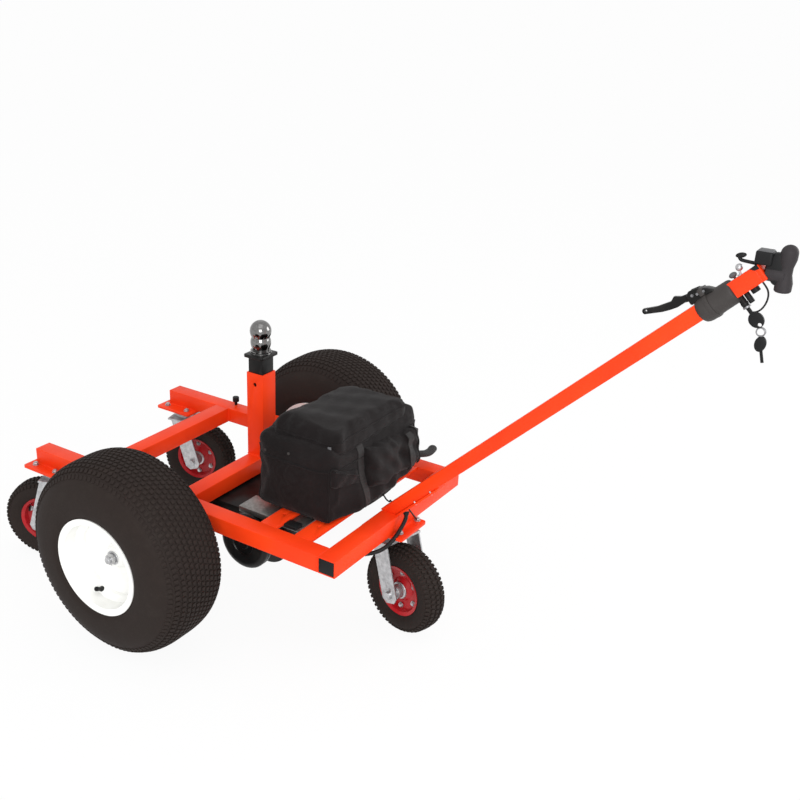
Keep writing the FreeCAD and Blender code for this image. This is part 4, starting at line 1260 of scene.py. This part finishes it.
def hugging(tree, starts, direction, lift):
    # the points where rays meet the cloth, lifted off it
    found, normals = [], []
    for start in starts:
        place, normal = hit(tree, start, direction)
        if place is not None:
            found.append(place + normal * lift)
            normals.append(normal)
    return found, normals


def roundAbout(tree, height, lift):
    # a ring of points where rays from all sides meet the cloth
    middle = Vector((*bagTrim["middle"], height))
    found = []
    for step in range(161):
        turn = math.tau * step / 160
        away = Vector((math.cos(turn), math.sin(turn), 0))
        place, normal = hit(tree, middle + away * 0.5, -away)
        if place is not None:
            found.append(place + normal * lift)
    return found


def addPiping(bm, points, radius):
    even = evenPoints(points, radius * 1.6)
    addSweep(bm, framesAlong(even), [radius] * len(even), 8)


def bandFrames(points, normals):  # local X across the band, Y off the cloth
    found = []
    for at, point in enumerate(points):
        ahead = (points[min(at + 1, len(points) - 1)] - points[max(at - 1, 0)]).normalized()
        across = normals[at].cross(ahead).normalized()
        off = ahead.cross(across)
        found.append(Matrix.Translation(point) @ Matrix((across, off, ahead)).transposed().to_4x4())
    return found


def addBand(bm, points, normals, width, thick):
    reach = width / 2 / math.cos(math.pi / 4)
    addSweep(bm, bandFrames(points, normals), [reach] * len(points), 4, thick / width, math.pi / 4)


def steady(normals):  # neighbours averaged, so that a band does not ripple
    found = []
    for at in range(len(normals)):
        near = normals[max(0, at - 3):at + 4]
        found.append(sum(near, Vector()).normalized())
    return found


def makePiping(trees):
    radius = battery["piping"]
    middle = Vector((*bagTrim["middle"], 0))
    seams = bmesh.new()

    def addSeam(tree, starts, direction, lift):
        points, _ = hugging(tree, starts, direction, lift)
        if len(points) > 4:
            addPiping(seams, points, radius)

    for cloth, height, lift, share in bagTrim["rings"]:
        addPiping(seams, roundAbout(trees[cloth], height, radius * lift), radius * share)
    heights = [0.314 + step * 0.0042 for step in range(34)]
    for x in bagTrim["cornersX"]:
        turn = math.atan2(bagTrim["frontY"] - middle.y, x - middle.x)
        away = Vector((math.cos(turn), math.sin(turn), 0))
        starts = [middle + away * 0.5 + Vector((0, 0, height)) for height in heights[:31]]
        addSeam(trees["body"], starts, -away, radius * 0.2)
    starts = [(-0.5, bagTrim["backSeamY"], height) for height in heights]
    addSeam(trees["body"], starts, (1, 0, 0), radius * 0.2)
    slope = [(-0.154 + step * 0.004, -0.5, 0.4440 - step * 0.0018) for step in range(27)]
    addSeam(trees["pouch"], slope, (0, 1, 0), 0.0006)
    keepPiece("bag_piping", seams, "chassis", "bag_fabric", smooth=60)


def makeStraps(trees):
    width, thick = battery["band"]
    straps = bmesh.new()
    for cloth, x, top, bottom, share in bagTrim["straps"]:
        starts = [(x, -0.5, top - (top - bottom) * step / 40) for step in range(41)]
        points, normals = hugging(trees[cloth], starts, (0, 1, 0), thick * 0.45)
        addBand(straps, points, steady(normals), width * share, thick)
    keepPiece("bag_straps", straps, "chassis", "bag_fabric", strapFinish)


def makeHandleEnd():
    line = [Vector(point) for point in bagTrim["handle"]]
    points = evenPoints(pointsAlong(line), 0.004)
    radii = [bagTrim["handleRadius"]] * len(points)
    for at, share in enumerate(bagTrim["handleTaper"]):
        radii[-1 - at] *= share
    handle = bmesh.new()
    addSweep(handle, framesAlong(points), radii, 14, bagTrim["handleSquash"])
    keepPiece("bag_handle_end", handle, "chassis", "bag_fabric", strapFinish, smooth=60)


def makeRivets(trees):
    radius, tall = bagTrim["rivet"]
    rivets = bmesh.new()
    for y, z in bagTrim["rivetsAt"]:
        place, normal = hit(trees["body"], (-0.5, y, z), (1, 0, 0))
        addRod(rivets, radius, tall, facing(place - normal * 0.0006, normal), 20, 0.0008)
    keepPiece("bag_rivets", rivets, "chassis", "grey_plastic", finishes["soft_rubber"])


def makePuller(trees):
    place, normal = hit(trees["lid"], bagTrim["pullerFrom"], bagTrim["pullerTowards"])
    spot = facing(place + normal * 0.001, normal)
    puller = bmesh.new()
    addBox(puller, (0.008, 0.020, 0.004), spot, 0.0012)
    addBox(puller, (0.006, 0.016, 0.0022), spot @ Matrix.Translation((0, -0.016, 0.0016)), 0.0008)
    keepPiece("bag_puller", puller, "chassis", "grey_plastic")


bagParts = {  # name, where the cloth is held, how it hangs
    "body": ("battery_bag_body", lambda place: place.z < 0.312, sagBody),
    "lid": ("battery_bag_lid", lambda place: place.z < 0.468, crownLid),
    "pocket": ("bag_front_pocket", lambda place: place.y > -0.054, foldPocket),
    "pouch": ("bag_corner_pouch", lambda place: place.y > -0.054, foldPouch),
}


def makeBag():
    trees = {}
    for part, (name, held, shaping) in bagParts.items():
        piece, trees[part] = makePadded(name, battery[part], held, shaping)
        if part == "body":
            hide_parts("battery_bag")
    print("bag blown up")
    makePiping(trees)
    makeStraps(trees)
    makeHandleEnd()
    makeRivets(trees)
    makePuller(trees)


makeBag()
print("battery bag made")


sleeve = {
    "start": 0.8375,
    # (radius, distance from its lower end): a swollen, domed lower end and a plain upper one
    "outline": ((0.0152, 0.0), (0.0188, 0.0006), (0.0216, 0.0030), (0.0234, 0.0072), (0.0243, 0.0130),
                (0.0244, 0.0190), (0.0237, 0.0260), (0.0228, 0.0330), (0.0224, 0.0420), (0.0222, 0.0560),
                (0.0220, 0.0660), (0.0211, 0.0695), (0.0190, 0.0710), (0.0152, 0.0710)),
    "clampAt": 0.862,
    "clampRing": ((0.0215, -0.0045), (0.0250, -0.0040), (0.0254, -0.0020), (0.0254, 0.0020), (0.0250, 0.0040),
                  (0.0215, 0.0045)),
    "clampBlock": (0.030, 0.014, 0.010),
    # clamp bolts: along the bar, lift, X, side that the head looks to, thread
    "bolts": ((0.8560, 0.0285, -0.0148, -1, 0.0022), (0.8680, 0.0270, -0.0148, -1, 0.0022),
              (0.846, 0.031, -0.0120, -1, 0.0026), (0.846, 0.031, 0.0120, 1, 0.0026)),
}
# places on the controls are an offset from the axle along Y and a height
boxTrim = {
    "capInset": 0.0045,
    "capTall": 0.0050,
    "footWide": 0.0325,
    "foot": ((0.9520, 0.0155), (0.9660, 0.0155), (0.9660, 0.0070), (0.9580, 0.0085)),  # along the bar, lift
    "webWide": 0.0190,
    "web": ((-1.1580, 1.0240), (-1.1490, 1.0060), (-1.1490, 0.9930), (-1.1540, 0.9830), (-1.1660, 0.9700),
            (-1.1790, 0.9700), (-1.1800, 0.9980), (-1.1770, 1.0250)),
    "barEnd": (0.0306, 0.0306, 0.0090),
    "barEndAt": 0.9625,
}
toggle = {"head": (-1.1078, 0.9905), "foot": (-1.1125, 0.9770), "x": -0.004, "dome": (0.0064, 0.0064)}
speedKnob = {"place": (-1.0985, 0.9735), "x": 0.003, "egg": (0.0050, 0.0072)}
thumbPad = {"back": 0.0245, "under": 0.0042, "egg": (0.0046, 0.0092), "armRadius": 0.0031}
keyRing = {"place": (-1.1615, 0.8855), "radius": 0.0074, "wire": 0.0012}
spareKey = {
    "head": (-1.1645, 0.8645),
    "tip": (-1.1735, 0.8320),
    "wide": 0.0098,
    "tall": 0.0142,
    "thick": 0.0062,
    "bladeWide": 0.0052,
    "bladeThick": 0.0022,
}


def inSide(place, x=0.0):  # from an offset behind the axle and a height
    return fromAxle(x, place[0], place[1])


def sideFrame(place, x=0.0):  # local X along Y, local Y up, local Z across
    turn = Matrix(((0, 0, 1), (1, 0, 0), (0, 1, 0))).to_4x4()
    return Matrix.Translation(inSide(place, x)) @ turn


def makeSleeve():
    grip = bmesh.new()
    addTurned(grip, sleeve["outline"], barFrame(sleeve["start"], -0.0015), 56)
    keepPiece("grip_sleeve_moulded", grip, "chassis", "soft_rubber", smooth=50, replaced=["grip_sleeve"])
    clamp = bmesh.new()
    addTurned(clamp, sleeve["clampRing"], barFrame(sleeve["clampAt"], -0.0010), 48)
    addBox(clamp, sleeve["clampBlock"], barFrame(sleeve["clampAt"], 0.0275), 0.0024)
    keepPiece("brake_clamp_band", clamp, "chassis", "black_paint", finishes["soft_rubber"])
    bolts = bmesh.new()
    for along, lift, x, side, size in sleeve["bolts"]:
        addBolt(bolts, onBar(along, lift, x), (side, 0, 0), size)
    keepPiece("brake_clamp_bolts", bolts, "chassis", "zinc", dullZinc)


def makeControlBox():
    roundedNode("control_box", "chassis", 0.0032, 3, finish=finishes["black_plastic"])
    low, high, middle = boxOf("control_box")
    size, inset = high - low, boxTrim["capInset"]
    cap = bmesh.new()
    addBox(cap, (size.x - inset, size.y - inset, boxTrim["capTall"]),
           Matrix.Translation((middle.x, middle.y, high.z - 0.0012)), 0.0019, 3)
    keepPiece("control_box_cap", cap, "chassis", "grey_plastic")
    foot = bmesh.new()
    outline = [onBar(along, lift) for along, lift in boxTrim["foot"]]
    addOutline(foot, [(place.y - axleY, place.z) for place in outline], boxTrim["footWide"],
               sideFrame((0, 0)), 0.0006, 1)
    addOutline(foot, boxTrim["web"], boxTrim["webWide"], sideFrame((0, 0)), 0.0050, 3)
    keepPiece("control_box_foot", foot, "chassis", "black_plastic")
    barEnd = bmesh.new()
    addBox(barEnd, boxTrim["barEnd"], barFrame(boxTrim["barEndAt"]), 0.0024, 3)
    keepPiece("handle_tube_end", barEnd, "chassis", "frame_paint")


def makeToggles():
    head, foot = inSide(toggle["head"], toggle["x"]), inSide(toggle["foot"], toggle["x"])
    rise = head - foot
    pale = bmesh.new()
    addTurned(pale, eggShape(*toggle["dome"]), facing(head, rise), 28, closed=False)
    addRod(pale, 0.0020, rise.length, facing(foot, rise), 14)
    addRod(pale, 0.0050, 0.0030, facing(foot - rise.normalized() * 0.001, rise), 6, 0.0004)
    keepPiece("toggle_switch", pale, "chassis", "zinc")
    place = inSide(speedKnob["place"], speedKnob["x"])
    grey = bmesh.new()
    addTurned(grey, eggShape(*speedKnob["egg"]), facing(place, barAlong), 26, closed=False)
    addRod(grey, 0.0022, 0.0060, facing(place - barUp * 0.0085, barUp), 14)
    keepPiece("speed_knob", grey, "chassis", "grey_plastic")


def makeThumbLever():
    low, high, middle = boxOf("thumb_lever")
    x, y, z = middle.x, low.y + thumbPad["back"], high.z - thumbPad["under"]
    lever = bmesh.new()
    addTurned(lever, eggShape(*thumbPad["egg"], 12), facing((x, y, z), (0, 1, -0.28)), 26, closed=False)
    arm = [Vector((x, y + 0.002, z - 0.003)), Vector((x, y + 0.001, low.z + 0.0050)),
           Vector((x, y - 0.010, low.z + 0.0040)), Vector((x, low.y - 0.002, low.z + 0.0030))]
    points = evenPoints(pointsAlong(arm), 0.0015)
    addSweep(lever, framesAlong(points), [thumbPad["armRadius"]] * len(points), 12)
    keepPiece("thumb_lever_round", lever, "chassis", "black_plastic", smooth=60, replaced=["thumb_lever"])


def makeKeys():
    roundedNode("key_switch", "chassis", 0.0006, finish=finishes["black_plastic"])
    roundedNode("ignition_key", "chassis", 0.0016, 3)
    metal = bmesh.new()
    radius, wire = keyRing["radius"], keyRing["wire"]
    for lean, shift in ((0.25, 0.0011), (-0.15, -0.0011)):
        spot = sideFrame(keyRing["place"], shift) @ Matrix.Rotation(lean, 4, "Y")
        loop = [(radius + wire * math.cos(math.tau * at / 10), wire * math.sin(math.tau * at / 10))
                for at in range(10)]
        addTurned(metal, loop, spot, 36)
    addTurned(metal, [(0.0060, -0.0010), (0.0072, -0.0010), (0.0072, 0.0022), (0.0060, 0.0022)],
              barFrame(0.9075, -0.0360) @ Matrix.Rotation(math.pi / 2, 4, "X"), 28)
    blade = bmesh.new()
    head, tip = inSide(spareKey["head"]), inSide(spareKey["tip"])
    fall = facing((head + tip) / 2 + (tip - head).normalized() * 0.006, tip - head)
    long = (tip - head).length - 0.012
    addBox(blade, (spareKey["bladeThick"], spareKey["bladeWide"], long), fall, 0.0005)
    addOutline(blade, oval(spareKey["wide"], spareKey["tall"]), spareKey["thick"],
               sideFrame(spareKey["head"]) @ Matrix.Rotation(0.10, 4, "Z"), 0.0018, 2)
    spare = keepPiece("spare_key", blade, "chassis", "black_plastic", replaced=["spare_key_on_ring"])
    keepPiece("key_ring", metal, "chassis", "zinc", dullZinc)


bracketTrim = {
    "boltsAt": (0.070, 0.122),
    "bolt": (0.0021, 0.0095),
    "stayTop": onBar(0.045, -0.0200, -0.0180),
    "stayFoot": fromAxle(0.055, -0.486, 0.266),
    "stayRadius": 0.0018,
    "grommet": ((0.0, -0.0010), (0.0078, -0.0010), (0.0078, 0.0012), (0.0066, 0.0022), (0.0056, 0.0060),
                (0.0, 0.0062)),
}


def makeBracketTrim():
    bolts = bmesh.new()
    for along in bracketTrim["boltsAt"]:
        addRod(bolts, *bracketTrim["bolt"], facing(onBar(along, -0.0205, -0.0176), barUp), 12, 0.0006)
    keepPiece("bracket_bolts", bolts, "chassis", "zinc")
    top, foot = bracketTrim["stayTop"], bracketTrim["stayFoot"]
    stay = bmesh.new()
    addRod(stay, bracketTrim["stayRadius"], (foot - top).length, facing(top, foot - top), 10, 0.0004)
    for end, ahead in ((0, 1), (-1, -2)):  # the cable's grommets
        away = controlRoute[ahead] - controlRoute[end]
        addTurned(stay, bracketTrim["grommet"], facing(controlRoute[end], away), 28, closed=False)
    keepPiece("bracket_stay_and_grommets", stay, "chassis", "black_plastic")


easedControls = {  # edge radius and steps of its rounding
    "handle_tube": (0.0028, 3),
    "handle_bracket": (0.0010, 2),
    "brake_lever_clamp": (0.0030, 3),
    "brake_lever": (0.0028, 3),
    "end_grip": (0.0010, 2, 50, gripFinish),
    "push_buttons": (0.0012, 2),
    "rail_knob": (0.0015, 3),
}


def makeDrawbar():
    for nodeName, values in easedControls.items():
        roundedNode(nodeName, "chassis", *values)
    makeSleeve()
    makeControlBox()
    makeToggles()
    makeThumbLever()
    makeKeys()
    makeBracketTrim()


makeDrawbar()
print("drawbar and controls made")
